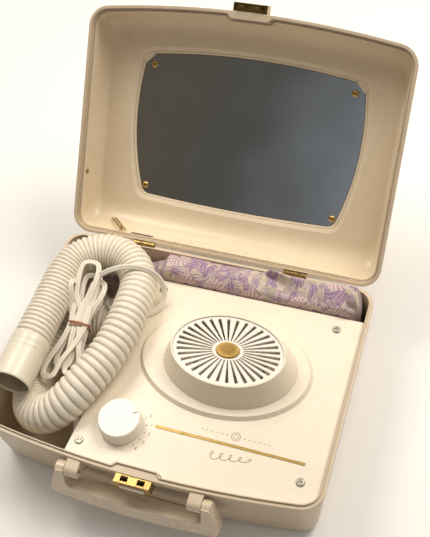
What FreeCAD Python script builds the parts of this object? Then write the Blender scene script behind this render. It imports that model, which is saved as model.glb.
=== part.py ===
import FreeCAD
import Part
import math
import os

# Portable bonnet hair dryer in a carrying case.
# Millimetres, +Z up, +X to the right, the front (handle and latch) faces -Y.
# The origin is on the flat underside, midway between the side walls and midway
# between the back wall and the front corners.  The lid is modelled closed and
# then turned about its hinge to the open position, which is the rest position.

V = FreeCAD.Vector
X_AXIS = V(1, 0, 0)
Z_AXIS = V(0, 0, 1)
OVER = 1.0  # how far a cutting solid runs past the face that it cuts

# ---- case ----
CASE_WIDTH = 340.0
CASE_DEPTH = 238.0
FRONT_BOW = 13.5
CORNER_FRONT = 22.0
CORNER_BACK = 20.0
BASE_HEIGHT = 80.0
WALL = 3.0
DRAFT = 5.0
BASE_EDGE_ROUND = 12.0
BAND_HEIGHT = 7.0
BAND_OUT = 1.5
TONGUE_HEIGHT = 2.0
TONGUE_WIDTH = 1.2
TONGUE_CLEARANCE = 0.4
RIM_GAP = 0.3
RIM_INSET = BAND_OUT + WALL

# ---- lid ----
LID_HEIGHT = 51.0
LID_FLOOR = 41.0
LID_COVE_ENDS = 24.0
LID_COVE_SIDES = 7.0
LID_SKIN = 2.4
LINER = 2.0
LINER_GAP = 0.4
LINER_WALL = 1.2
LINER_SKIRT = 5.0
LID_PAD_HEIGHT = 14.0
STOP_FOOT_X = -112.0
STOP_FOOT_H = 6.5
STOP_HEAD_X = -135.0
STOP_HEAD_H = 31.5
STOP_LEAN = 5.6
STOP_SPREAD = 1.9
STOP_CLEAR = 0.9
STOP_SEAT = 0.1
LID_OPEN = 130.0
COVE_STEPS = 6
HINGE_Y = CASE_DEPTH / 2 + 1.0
HINGE_Z = BASE_HEIGHT

# ---- mirror ----
MIRROR_Y = -2.0
MIRROR_HALF_LENGTH = 75.0
MIRROR_HALF_HINGE_END = 108.0
MIRROR_HALF_FRONT_END = 117.5
MIRROR_SIDE_BOW = 10.5
MIRROR_FRONT_BOW = 9.0
MIRROR_HINGE_BOW = 3.0
MIRROR_CORNER = 10.0
MIRROR_THICK = 2.2
MIRROR_CARD = 0.8
MIRROR_GAP = 0.6
MIRROR_BEVEL = 7.0
MIRROR_DROP = 3.0
MIRROR_SCREW_INSET = 8.5

# ---- faceplate and intake ----
PLATE_DROP = 4.0
PLATE_THICK = 2.5
PLATE_GAP = 0.7
PLATE_LEFT_FRONT = -74.0
PLATE_LEFT_BACK = -59.0
PLATE_BACK = 82.0
PLATEAU_X = 45.0
PLATEAU_HALF_X = 87.0
PLATEAU_HALF_Y = 59.0
PLATEAU_SLOPE = 3.0
PLATEAU_HEIGHT = 4.0
DOME_X = 50.0
DOME_Y = 2.0
DOME_BASE_X = 67.0
DOME_BASE_Y = 48.5
DOME_TOP_X = 56.5
DOME_TOP_Y = 39.0
DOME_HEIGHT = 26.0
DOME_WALL = 2.2
GRILLE_RIM = 3.0
GRILLE_LEDGE = 2.0
GRILLE_GAP = 0.2
GRILLE_THICK = 2.6
GRILLE_SLOTS = 34
GRILLE_SLOT_WIDTH = 3.3
GRILLE_SLOT_TAPER = 0.34
GRILLE_SLOT_INNER = 0.29
GRILLE_SLOT_OUTER = 0.95
MEDALLION_X = 12.0
MEDALLION_Y = 9.0
MEDALLION_THICK = 1.6
STRIPE_START = 1.0
STRIPE_END = 146.0
STRIPE_Y = -78.5
STRIPE_WIDTH = 2.8
STRIPE_PROUD = 0.4
SCREW_HEAD = 4.1
SCREW_HEAD_HEIGHT = 1.6
SCREW_SHANK = 1.5
SCREW_LENGTH = 12.0
PLATE_SCREWS = ((-64.4, -111.0), (146.0, -96.0), (140.5, 67.5), (-44.0, 71.0))
BOSS_RADIUS = 4.0

# ---- control ----
KNOB_X = -31.0
KNOB_Y = -85.5
KNOB_RADIUS = 20.2
KNOB_SKIRT = 21.2
KNOB_HEIGHT = 15.0
KNOB_LIFT = 0.6
KNOB_SHAFT = 3.0
POINTER_ANGLE = 32.0
SHAFT_CLEARANCE = 0.3

# ---- air path ----
FAN_RADIUS = 40.0
FAN_HEIGHT = 24.0
FAN_BLADES = 24
FAN_FLOOR = 40.0
SCROLL_RADIUS = 50.0
SCROLL_WALL = 1.6
SCROLL_FLOOR = 36.0
SCROLL_TOP = 70.0
INLET_RADIUS = 30.0
DUCT_Y = 30.0
DUCT_WIDTH = 36.0
COIL_RADIUS = 12.0
COIL_WIRE = 0.9
COIL_RINGS = 5
COIL_PITCH = 4.0
SPIGOT_RADIUS = 15.6
SPIGOT_WALL = 1.6
SPIGOT_Z = (SCROLL_FLOOR + SCROLL_TOP) / 2
MOTOR_RADIUS = 26.0
MOTOR_BORE = 14.4
MOTOR_COIL = 7.9
MOTOR_FLOOR = 8.0
MOTOR_TOP = 30.0
ROTOR_RADIUS = 14.0
SHAFT_RADIUS = 2.5
SHAFT_RUN = 0.05

# ---- divider ----
DIVIDER_WALL = 2.0
DIVIDER_SET = 1.5

# ---- hose and lead ----
HOSE_RADIUS = 19.2
HOSE_WALL = 1.3
CUFF_RADIUS = 20.0
CUFF_BORE = 18.4
CUFF_LENGTH = 48.0
LEAD_RADIUS = 2.2
BAND_SPARE = 0.3
BAND_THICK = 1.5

# ---- handle ----
HANDLE_Y = -139.0
HANDLE_Z = BASE_HEIGHT - 9.0
BRACKET_X = 60.5
BRACKET_WIDTH = 13.0
BRACKET_RADIUS = 6.5
HANDLE_ARM = 9.0
HANDLE_SIDE_GAP = 0.5
HANDLE_PIN = 2.0
HANDLE_PIN_RUN = 0.06
HANDLE_DROP = 35.0
HANDLE_THICK = 13.0
HANDLE_LEAN = 13.0

# ---- latch ----
LATCH_HALF = 17.5
LATCH_DEPTH = 8.5
LATCH_HEIGHT = 14.0
LATCH_SHEET = 0.8
HOOK_X = 8.2
HOOK_DROP = 3.5
PAD_HALF = 25.0
PAD_IN = 4.5

# ---- hinges ----
HINGE_X = 84.0
HINGE_WIDTH = 24.0
HINGE_KNUCKLE = 2.6
HINGE_PIN = 1.3
HINGE_LEAF = 1.0
HINGE_LEAF_DEPTH = 14.0


# ------------------------------------------------------------------ helpers
def block(x0, x1, y0, y1, z0, z1):
    return Part.makeBox(x1 - x0, y1 - y0, z1 - z0, V(x0, y0, z0))


def rod(radius, start, end):
    axis = end - start
    return Part.makeCylinder(radius, axis.Length, start, axis)


def disc(radius, x, y, z0, z1):
    return Part.makeCylinder(radius, z1 - z0, V(x, y, z0), Z_AXIS)


def fuse(solids):
    first = solids[0]
    if len(solids) > 1:
        first = first.multiFuse(solids[1:])
    return first.removeSplitter()


def cut(solid, tools):
    for tool in tools:
        solid = solid.cut(tool)
    return solid


def group(solids):
    return Part.makeCompound(solids)


def arc(a, b, c):
    return Part.Arc(a, b, c).toShape()


def line(a, b):
    return Part.LineSegment(a, b).toShape()


def prism(points, direction):
    face = Part.Face(Part.makePolygon(points + [points[0]]))
    return face.extrude(direction)


def ellipse_wire(x, y, z, half_x, half_y):
    if half_x > half_y:
        curve = Part.Ellipse(V(x, y, z), half_x, half_y)
    else:
        curve = Part.Circle(V(x, y, z), Z_AXIS, half_x)
    return Part.Wire([curve.toShape()])


def ellipse_cone(x, y, z0, z1, bottom, top):
    wires = [ellipse_wire(x, y, z0, *bottom), ellipse_wire(x, y, z1, *top)]
    return Part.makeLoft(wires, True, True)


def plan_wire(z, side, front, back, ease=0.0):
    """The case outline at height z, moved in from the rim by side, front and back."""
    half = CASE_WIDTH / 2 - side
    back_y = CASE_DEPTH / 2 - back
    rim_radius = ((CASE_WIDTH / 2) ** 2 + FRONT_BOW ** 2) / (2 * FRONT_BOW)
    radius = rim_radius - front
    centre_y = rim_radius - CASE_DEPTH / 2 - FRONT_BOW
    fr = CORNER_FRONT - side + ease
    br = CORNER_BACK - side + ease
    fx = half - fr
    fy = centre_y - math.sqrt((radius - fr) ** 2 - fx ** 2)
    k = radius / (radius - fr)
    tx = fx * k
    ty = centre_y + (fy - centre_y) * k
    lean = math.atan2(ty - fy, tx - fx) / 2
    mx = fx + fr * math.cos(lean)
    my = fy + fr * math.sin(lean)
    bx = half - br
    by = back_y - br
    q = math.sqrt(0.5)
    edges = [
        arc(V(-tx, ty, z), V(0, centre_y - radius, z), V(tx, ty, z)),
        arc(V(tx, ty, z), V(mx, my, z), V(half, fy, z)),
        line(V(half, fy, z), V(half, by, z)),
        arc(V(half, by, z), V(bx + br * q, by + br * q, z), V(bx, back_y, z)),
        line(V(bx, back_y, z), V(-bx, back_y, z)),
        arc(V(-bx, back_y, z), V(-bx - br * q, by + br * q, z), V(-half, by, z)),
        line(V(-half, by, z), V(-half, fy, z)),
        arc(V(-half, fy, z), V(-mx, my, z), V(-tx, ty, z)),
    ]
    return Part.Wire(edges)


def plan_prism(inset, z0, z1):
    face = Part.Face(plan_wire(z0, inset, inset, inset))
    return face.extrude(V(0, 0, z1 - z0))


def front_y(x, inset=0.0):
    """Where the front of the case is at x, moved in by inset."""
    radius = ((CASE_WIDTH / 2) ** 2 + FRONT_BOW ** 2) / (2 * FRONT_BOW)
    centre = radius - CASE_DEPTH / 2 - FRONT_BOW
    return centre - math.sqrt((radius - inset) ** 2 - x ** 2)


def edges_at(solid, z, tolerance=0.01):
    found = []
    for edge in solid.Edges:
        box = edge.BoundBox
        if abs(box.ZMin - z) < tolerance and abs(box.ZMax - z) < tolerance:
            found.append(edge)
    return found


def tube_path(name, points):
    """Straight runs joined by tangent arcs, each as large as its two runs allow."""
    edges = []
    start = points[0]
    radii = []
    for i in range(1, len(points) - 1):
        before = points[i] - points[i - 1]
        after = points[i + 1] - points[i]
        turn = before.getAngle(after)
        reach = 0.45 * min(before.Length, after.Length)
        radii.append(reach / math.tan(turn / 2))
        into = V(before).normalize()
        out = V(after).normalize()
        a = points[i] - into * reach
        b = points[i] + out * reach
        bisector = (out - into).normalize()
        centre = points[i] + bisector * (radii[-1] / math.cos(turn / 2))
        middle = centre - bisector * radii[-1]
        edges.append(line(start, a))
        edges.append(arc(a, middle, b))
        start = b
    edges.append(line(start, points[-1]))
    print(name, "least radius %.1f mm" % min(radii))
    return Part.Wire(edges)


def sweep(path, radius):
    start = path.Edges[0].valueAt(path.Edges[0].FirstParameter)
    heading = path.Edges[0].tangentAt(path.Edges[0].FirstParameter)
    ring = Part.Wire([Part.Circle(start, heading, radius).toShape()])
    return path.makePipeShell([ring], True, True)


def check_volume(name, solid, area, path):
    ratio = solid.Volume / (area * path.Length)
    print(name, "length %.0f mm" % path.Length, "volume ratio %.4f" % ratio)


def save(name, shape):
    shape.exportStep("parts/%s.step" % name)


def opened(shape):
    """A lid piece, turned from the closed to the open position."""
    copy = shape.copy()
    copy.rotate(V(0, HINGE_Y, HINGE_Z), X_AXIS, -LID_OPEN)
    return copy


# --------------------------------------------------------------------- base
def latch_pad(grow, z0, z1):
    """The thicker stretch of wall behind the latch, grown outwards by grow."""
    inner = front_y(0, RIM_INSET) + PAD_IN + grow
    outer = front_y(0) - OVER
    wide = PAD_HALF + grow
    narrow = PAD_HALF - PAD_IN + grow
    points = [V(-wide, outer, z0), V(wide, outer, z0), V(wide, inner - PAD_IN, z0)]
    points += [V(narrow, inner, z0), V(-narrow, inner, z0), V(-wide, inner - PAD_IN, z0)]
    return prism(points, V(0, 0, z1 - z0))


def hinge_notches(z0, z1):
    """Room in the back rim for the two hinge knuckles."""
    depth = HINGE_KNUCKLE + 0.6
    half = HINGE_WIDTH / 2 + 0.5
    cuts = []
    for side in (-1, 1):
        x = side * HINGE_X
        cuts.append(block(x - half, x + half, HINGE_Y - depth, HINGE_Y + OVER, z0, z1))
    return cuts


def rim_tongue():
    outer = plan_prism(RIM_INSET - TONGUE_WIDTH, BASE_HEIGHT - OVER, BASE_HEIGHT + TONGUE_HEIGHT)
    outer = outer.cut(latch_pad(-TONGUE_WIDTH, BASE_HEIGHT - 2 * OVER, BASE_HEIGHT + 2 * OVER + 1))
    inner = plan_prism(RIM_INSET, BASE_HEIGHT - 2 * OVER, BASE_HEIGHT + 2 * OVER + 1)
    inner = inner.cut(latch_pad(0, BASE_HEIGHT - 3 * OVER, BASE_HEIGHT + 3 * OVER + 1))
    return outer.cut(inner)


RECESS_HALF = 74.0
RECESS_TOP = BASE_HEIGHT - BAND_HEIGHT - 3.0
RECESS_BOTTOM = 18.0
RECESS_DEPTH = 3.0
RECESS_SLOPE = 9.0


def handle_recess():
    """A shallow tray in the front wall behind the handle, with sloping ends."""
    outer_y = front_y(0) - 5
    face_y = front_y(RECESS_HALF, BAND_OUT) + RECESS_DEPTH
    low = [
        V(-RECESS_HALF - RECESS_SLOPE, outer_y, RECESS_BOTTOM),
        V(RECESS_HALF + RECESS_SLOPE, outer_y, RECESS_BOTTOM),
    ]
    low += [
        V(RECESS_HALF - RECESS_SLOPE, face_y, RECESS_BOTTOM),
        V(-RECESS_HALF + RECESS_SLOPE, face_y, RECESS_BOTTOM),
    ]
    return prism(low, V(0, 0, RECESS_TOP - RECESS_BOTTOM))


def handle_recess_backing():
    half = RECESS_HALF + RECESS_SLOPE + WALL
    face_y = front_y(RECESS_HALF, BAND_OUT) + RECESS_DEPTH
    return block(
        -half, half, front_y(0) - 5, face_y + WALL, RECESS_BOTTOM - WALL, RECESS_TOP + WALL - 0.2,
    )


def base_outer():
    shelf = BASE_HEIGHT - BAND_HEIGHT
    bottom = BAND_OUT + DRAFT
    body = Part.makeLoft(
        [plan_wire(0, bottom, bottom, bottom), plan_wire(shelf, BAND_OUT, BAND_OUT, BAND_OUT)],
        True,
        True,
    )
    body = body.makeFillet(BASE_EDGE_ROUND, edges_at(body, 0))
    return body.fuse(plan_prism(0, shelf, BASE_HEIGHT)).removeSplitter()


def base_cavity():
    bottom = RIM_INSET + DRAFT
    top = BASE_HEIGHT + OVER
    space = Part.makeLoft(
        [plan_wire(WALL, bottom, bottom, bottom), plan_wire(top, RIM_INSET, RIM_INSET, RIM_INSET)],
        True, True,
    )
    return space.makeFillet(BASE_EDGE_ROUND - WALL, edges_at(space, WALL))


def make_base_shell():
    outer = base_outer()
    cavity = base_cavity()
    cavity = cavity.cut(latch_pad(0, BASE_HEIGHT - 30, BASE_HEIGHT + 2 * OVER))
    cavity = cavity.cut(handle_recess_backing())
    shell = outer.cut(cavity)
    shell = shell.cut(handle_recess())
    tongue = rim_tongue()
    shell = shell.fuse(tongue)
    shell = cut(shell, hinge_notches(BASE_HEIGHT - HINGE_KNUCKLE - 0.6, BASE_HEIGHT + 5))
    bosses = []
    under = BASE_HEIGHT - PLATE_DROP - PLATE_THICK
    for x, y in PLATE_SCREWS:
        boss = disc(BOSS_RADIUS, x, y, WALL - 0.5, under)
        bosses.append(boss)
    shell = shell.fuse(bosses).removeSplitter()
    for x, y in PLATE_SCREWS:
        shell = shell.cut(disc(SCREW_SHANK, x, y, under - SCREW_LENGTH - 2, under + OVER))
    return shell


def plate_left(y):
    front = -CASE_DEPTH / 2
    share = (y - front) / (PLATE_BACK - front)
    return PLATE_LEFT_FRONT + (PLATE_LEFT_BACK - PLATE_LEFT_FRONT) * share


def plate_outline(shrink, z0, z1):
    """The faceplate's outline: inside the rim, cut off at its left and back edges."""
    body = plan_prism(RIM_INSET + PLATE_GAP + shrink, z0, z1)
    front = front_y(0) - 5
    back = PLATE_BACK - shrink
    left = [V(plate_left(front) + shrink, front, z0 - OVER), V(CASE_WIDTH, front, z0 - OVER)]
    left += [V(CASE_WIDTH, back, z0 - OVER), V(plate_left(back) + shrink, back, z0 - OVER)]
    body = body.common(prism(left, V(0, 0, z1 - z0 + 2 * OVER)))
    return body.cut(latch_pad(PLATE_GAP + shrink, z0 - OVER, z1 + OVER))


PLATE_TOP = BASE_HEIGHT - PLATE_DROP
PLATE_UNDER = PLATE_TOP - PLATE_THICK
PLATEAU_TOP = PLATE_TOP + PLATEAU_HEIGHT


def make_faceplate():
    plate = plate_outline(0, PLATE_UNDER, PLATE_TOP)
    top = (PLATEAU_HALF_X - PLATEAU_SLOPE, PLATEAU_HALF_Y - PLATEAU_SLOPE)
    raised = ellipse_cone(
        PLATEAU_X, DOME_Y, PLATE_TOP, PLATEAU_TOP, (PLATEAU_HALF_X, PLATEAU_HALF_Y), top,
    )
    plate = plate.fuse(raised).removeSplitter()
    under = (top[0] - PLATE_THICK, top[1] - PLATE_THICK)
    hollow = ellipse_cone(
        PLATEAU_X, DOME_Y, PLATE_UNDER - OVER, PLATEAU_TOP - PLATE_THICK, under, under,
    )
    throat = disc(INLET_RADIUS + 6, DOME_X, DOME_Y, PLATE_UNDER - OVER, PLATEAU_TOP + OVER)
    holes = [hollow, throat]
    holes.append(disc(
        KNOB_SHAFT + SHAFT_CLEARANCE, KNOB_X, KNOB_Y, PLATE_UNDER - OVER, PLATE_TOP + OVER,
    ))
    for x, y in PLATE_SCREWS:
        holes.append(disc(SCREW_SHANK + 0.2, x, y, PLATE_UNDER - OVER, PLATE_TOP + OVER))
    holes.append(stripe_groove())
    return cut(plate, holes)


STRIPE_GROOVE = 0.8


def stripe_groove():
    half = STRIPE_WIDTH / 2
    return block(
        STRIPE_START, STRIPE_END, STRIPE_Y - half, STRIPE_Y + half, PLATE_TOP - STRIPE_GROOVE,
        PLATE_TOP + OVER,
    )


def make_trim_stripe():
    half = STRIPE_WIDTH / 2
    low = PLATE_TOP - STRIPE_GROOVE
    return block(
        STRIPE_START, STRIPE_END, STRIPE_Y - half, STRIPE_Y + half, low, PLATE_TOP + STRIPE_PROUD,
    )


def phillips_screw(x, y, z):
    """A pan-head screw pointing down, its head's underside at z."""
    head = disc(SCREW_HEAD, x, y, z, z + SCREW_HEAD_HEIGHT)
    head = head.makeFillet(1.0, edges_at(head, z + SCREW_HEAD_HEIGHT))
    shank = disc(SCREW_SHANK, x, y, z - SCREW_LENGTH, z)
    screw = fuse([head, shank])
    for angle in (20, 110):
        slot = block(-2.3, 2.3, -0.5, 0.5, z + 0.5, z + SCREW_HEAD_HEIGHT + OVER)
        slot.rotate(V(0, 0, 0), Z_AXIS, angle)
        slot.translate(V(x, y, 0))
        screw = screw.cut(slot)
    return screw


def make_faceplate_screws():
    return group([phillips_screw(x, y, PLATE_TOP) for x, y in PLATE_SCREWS])


# -------------------------------------------------------------- intake dome
DOME_TOP = PLATEAU_TOP + DOME_HEIGHT
GRILLE_Z = DOME_TOP - 1.2


def make_intake_dome():
    outer = ellipse_cone(
        DOME_X, DOME_Y, PLATEAU_TOP, DOME_TOP, (DOME_BASE_X, DOME_BASE_Y), (DOME_TOP_X, DOME_TOP_Y),
    )
    ledge = GRILLE_Z - GRILLE_THICK
    under = ledge - GRILLE_LEDGE
    share = (under - PLATEAU_TOP) / DOME_HEIGHT
    inner_x = DOME_BASE_X + (DOME_TOP_X - DOME_BASE_X) * share - DOME_WALL
    inner_y = DOME_BASE_Y + (DOME_TOP_Y - DOME_BASE_Y) * share - DOME_WALL
    base = (DOME_BASE_X - DOME_WALL, DOME_BASE_Y - DOME_WALL)
    hollow = ellipse_cone(DOME_X, DOME_Y, PLATEAU_TOP, under, base, (inner_x, inner_y))
    mouth = (DOME_TOP_X - DOME_WALL - GRILLE_LEDGE, DOME_TOP_Y - DOME_WALL - GRILLE_LEDGE)
    hole = ellipse_cone(DOME_X, DOME_Y, under - OVER, DOME_TOP + OVER, mouth, mouth)
    seat = (DOME_TOP_X - DOME_WALL + GRILLE_GAP, DOME_TOP_Y - DOME_WALL + GRILLE_GAP)
    recess = ellipse_cone(DOME_X, DOME_Y, ledge, DOME_TOP + OVER, seat, seat)
    return cut(outer, [hollow, hole, recess])


def grille_slot(index):
    """One radial slot, evenly spaced round the oval."""
    t = 2 * math.pi * (index + 0.5) / GRILLE_SLOTS
    half_x = DOME_TOP_X - GRILLE_RIM
    half_y = DOME_TOP_Y - GRILLE_RIM
    ray = V(half_x * math.cos(t), half_y * math.sin(t), 0)
    across = V(-ray.y, ray.x, 0).normalize()
    centre = V(DOME_X, DOME_Y, GRILLE_Z - GRILLE_THICK - OVER)
    near = centre + ray * GRILLE_SLOT_INNER
    far = centre + ray * GRILLE_SLOT_OUTER
    wide = across * (GRILLE_SLOT_WIDTH / 2)
    thin = wide * GRILLE_SLOT_TAPER
    return prism(
        [near - thin, far - wide, far + wide, near + thin], V(0, 0, GRILLE_THICK + 2 * OVER),
    )


def make_intake_grille():
    edge = (DOME_TOP_X - DOME_WALL, DOME_TOP_Y - DOME_WALL)
    plate = ellipse_cone(DOME_X, DOME_Y, GRILLE_Z - GRILLE_THICK, GRILLE_Z, edge, edge)
    plate = plate.cut(group([grille_slot(i) for i in range(GRILLE_SLOTS)]))
    return plate


def make_medallion():
    top = (MEDALLION_X - 1.0, MEDALLION_Y - 1.0)
    return ellipse_cone(
        DOME_X, DOME_Y, GRILLE_Z, GRILLE_Z + MEDALLION_THICK, (MEDALLION_X, MEDALLION_Y), top,
    )


# ------------------------------------------------------------------ control
def make_control_knob():
    low = PLATE_TOP + KNOB_LIFT
    top = low + KNOB_HEIGHT
    body = Part.makeCone(KNOB_SKIRT, KNOB_RADIUS, KNOB_HEIGHT, V(KNOB_X, KNOB_Y, low), Z_AXIS)
    body = body.makeFillet(1.5, edges_at(body, top))
    hollow = disc(KNOB_RADIUS - 2.5, KNOB_X, KNOB_Y, low - OVER, top - 3)
    boss = disc(KNOB_SHAFT + 3, KNOB_X, KNOB_Y, low + 1, top - 2)
    pointer = block(KNOB_RADIUS - 6.5, KNOB_RADIUS - 2.0, -0.5, 0.5, top - 0.5, top + OVER)
    pointer.rotate(V(0, 0, 0), Z_AXIS, POINTER_ANGLE)
    pointer.translate(V(KNOB_X, KNOB_Y, 0))
    body = fuse([body.cut(hollow), boss])
    socket = disc(KNOB_SHAFT, KNOB_X, KNOB_Y, low - OVER, top - 4)
    return cut(body, [pointer, socket])


SWITCH_DEPTH = 16.0
SWITCH_HALF = 14.0


def make_switch_shaft():
    low = PLATE_UNDER - SWITCH_DEPTH + 3
    return disc(KNOB_SHAFT, KNOB_X, KNOB_Y, low, PLATE_TOP + KNOB_LIFT + KNOB_HEIGHT - 4)


def make_rotary_switch():
    low = PLATE_UNDER - SWITCH_DEPTH
    body = block(
        KNOB_X - SWITCH_HALF, KNOB_X + SWITCH_HALF, KNOB_Y - SWITCH_HALF, KNOB_Y + SWITCH_HALF, low,
        PLATE_UNDER,
    )
    body = body.makeFillet(
        2.0, [e for e in body.Edges if abs(e.BoundBox.ZLength - SWITCH_DEPTH) < 0.01],
    )
    well = disc(KNOB_SHAFT + SHAFT_RUN, KNOB_X, KNOB_Y, low + 2, PLATE_UNDER + OVER)
    body = body.cut(well)
    tabs = []
    for i in range(4):
        x = KNOB_X - 9 + 6 * i
        tabs.append(block(x - 0.4, x + 0.4, KNOB_Y - 2.4, KNOB_Y + 2.4, low - 6, low + 0.5))
    return fuse([body] + tabs)


# ----------------------------------------------------------------- air path
def duct_box(grow, x0, x1):
    half = DUCT_WIDTH / 2 + grow
    return block(
        x0, x1, DUCT_Y - half, DUCT_Y + half, SCROLL_FLOOR + SCROLL_WALL - grow,
        SCROLL_TOP - SCROLL_WALL + grow,
    )


DUCT_END = -14.0


def make_blower_scroll():
    outer = disc(SCROLL_RADIUS, DOME_X, DOME_Y, SCROLL_FLOOR, SCROLL_TOP - SCROLL_WALL)
    under_lid = block(-200, 200, -200, 200, 0, SCROLL_TOP - SCROLL_WALL)
    outer = fuse([outer, duct_box(SCROLL_WALL, DUCT_END, DOME_X).common(under_lid)])
    inner = disc(
        SCROLL_RADIUS - SCROLL_WALL, DOME_X, DOME_Y, SCROLL_FLOOR + SCROLL_WALL, SCROLL_TOP,
    )
    floor_hole = disc(SHAFT_RADIUS + 4, DOME_X, DOME_Y, SCROLL_FLOOR - OVER, SCROLL_FLOOR + 5)
    return cut(outer, [inner, duct_box(0, DUCT_END - OVER, DOME_X), floor_hole])


def make_scroll_cover():
    low = SCROLL_TOP - SCROLL_WALL
    plate = disc(SCROLL_RADIUS, DOME_X, DOME_Y, low, SCROLL_TOP)
    half = DUCT_WIDTH / 2 + SCROLL_WALL
    flap = block(DUCT_END, DOME_X, DUCT_Y - half, DUCT_Y + half, low, SCROLL_TOP)
    ring = disc(INLET_RADIUS + 2, DOME_X, DOME_Y, low, PLATE_UNDER + 3)
    cover = fuse([plate, flap, ring])
    return cover.cut(disc(INLET_RADIUS, DOME_X, DOME_Y, low - OVER, PLATE_TOP))


def make_fan_impeller():
    floor = disc(FAN_RADIUS, DOME_X, DOME_Y, FAN_FLOOR, FAN_FLOOR + 1.5)
    hub = disc(8, DOME_X, DOME_Y, FAN_FLOOR, FAN_FLOOR + 14)
    top = FAN_FLOOR + FAN_HEIGHT
    ring = disc(
        FAN_RADIUS, DOME_X, DOME_Y, top - 1.5, top,
    ).cut(disc(FAN_RADIUS - 9, DOME_X, DOME_Y, top - 3, top + OVER))
    blades = []
    for i in range(FAN_BLADES):
        blade = block(FAN_RADIUS - 9.5, FAN_RADIUS - 0.5, -0.5, 0.5, FAN_FLOOR + 1, top - 1)
        blade.rotate(V(FAN_RADIUS - 5, 0, 0), Z_AXIS, 35)
        blade.rotate(V(0, 0, 0), Z_AXIS, 360.0 * i / FAN_BLADES)
        blade.translate(V(DOME_X, DOME_Y, 0))
        blades.append(blade)
    wheel = fuse([floor, hub, ring] + blades)
    return wheel.cut(disc(SHAFT_RADIUS, DOME_X, DOME_Y, FAN_FLOOR - OVER, top))


def make_motor_shaft():
    return disc(SHAFT_RADIUS, DOME_X, DOME_Y, MOTOR_FLOOR - 3, FAN_FLOOR + 12)


def make_motor_rotor():
    core = disc(ROTOR_RADIUS, DOME_X, DOME_Y, MOTOR_FLOOR + 4, MOTOR_TOP - 4)
    return core.cut(disc(SHAFT_RADIUS, DOME_X, DOME_Y, MOTOR_FLOOR, MOTOR_TOP))


def make_motor_stator():
    low = MOTOR_FLOOR + 3
    high = MOTOR_TOP - 3
    core = block(DOME_X - MOTOR_RADIUS, DOME_X + MOTOR_RADIUS, DOME_Y - 20, DOME_Y + 20, low, high)
    middle = (low + high) / 2
    coils = []
    for side in (-1, 1):
        x = DOME_X + side * 21
        coils.append(rod(MOTOR_COIL, V(x, DOME_Y - 14, middle), V(x, DOME_Y + 14, middle)))
    core = fuse([core] + coils)
    return core.cut(disc(MOTOR_BORE, DOME_X, DOME_Y, low - 5, high + 5))


def make_motor_bearings():
    plates = []
    for z0, z1 in ((MOTOR_FLOOR, MOTOR_FLOOR + 3), (MOTOR_TOP - 3, MOTOR_TOP)):
        plate = block(DOME_X - MOTOR_RADIUS, DOME_X + MOTOR_RADIUS, DOME_Y - 9, DOME_Y + 9, z0, z1)
        plates.append(plate.cut(disc(
            SHAFT_RADIUS + SHAFT_RUN, DOME_X, DOME_Y, z0 - OVER, z1 + OVER,
        )))
    return group(plates)


def make_motor_posts():
    """Four posts that carry the motor on the case floor and the scroll on the motor."""
    posts = []
    for sx in (-1, 1):
        for sy in (-1, 1):
            x = DOME_X + sx * (MOTOR_RADIUS + 8)
            y = DOME_Y + sy * 24
            post = disc(3.5, x, y, WALL, SCROLL_FLOOR)
            arm_low = block(
                min(x, DOME_X + sx * (MOTOR_RADIUS - 6)), max(x, DOME_X + sx * (MOTOR_RADIUS - 6)),
                y - 3, y + 3, MOTOR_FLOOR - 4.5, MOTOR_FLOOR,
            )
            reach = block(
                DOME_X + sx * (MOTOR_RADIUS - 3) - 3, DOME_X + sx * (MOTOR_RADIUS - 3) + 3,
                min(y, DOME_Y + sy * 4) - 3, max(y, DOME_Y + sy * 4) + 3, MOTOR_FLOOR - 4.5,
                MOTOR_FLOOR,
            )
            posts.append(fuse([post, arm_low, reach]))
    return group(posts)


HEATER_START = DUCT_END
HEATER_END = -54.0


def make_heater_duct():
    outer = duct_box(SCROLL_WALL, HEATER_END, HEATER_START)
    return outer.cut(duct_box(0, HEATER_END - OVER, HEATER_START + OVER))


def heater_mid_z():
    return (SCROLL_FLOOR + SCROLL_TOP) / 2


def make_heater_frame():
    """Two crossed mica boards, full size at their ends and narrow inside the coil."""
    mid = heater_mid_z()
    tall = (SCROLL_TOP - SCROLL_FLOOR) / 2 - SCROLL_WALL
    wide = DUCT_WIDTH / 2
    slim = COIL_RADIUS - COIL_WIRE
    x0 = HEATER_END + 1
    x1 = HEATER_START - 1
    boards = []
    for a, b, half_y, half_z in (
        (x0, x1, slim, slim), (x0, x0 + 4, wide, tall), (x1 - 4, x1, wide, tall),
    ):
        boards.append(block(a, b, DUCT_Y - half_y, DUCT_Y + half_y, mid - 0.5, mid + 0.5))
        boards.append(block(a, b, DUCT_Y - 0.5, DUCT_Y + 0.5, mid - half_z, mid + half_z))
    return fuse(boards)


def make_heater_coil():
    """The wound wire, drawn as closed rings round the boards."""
    rings = []
    mid = heater_mid_z()
    for i in range(COIL_RINGS):
        x = HEATER_END + 8 + i * COIL_PITCH
        ring = Part.makeTorus(COIL_RADIUS, COIL_WIRE, V(x, DUCT_Y, mid), X_AXIS)
        rings.append(ring)
    return group(rings)


def make_thermostat():
    top = SCROLL_TOP - SCROLL_WALL
    return disc(5, HEATER_START - 5.5, DUCT_Y + 10, top - 4, top)


def divider_x(y, shift=0.0):
    return plate_left(y) + DIVIDER_SET + shift


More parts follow.
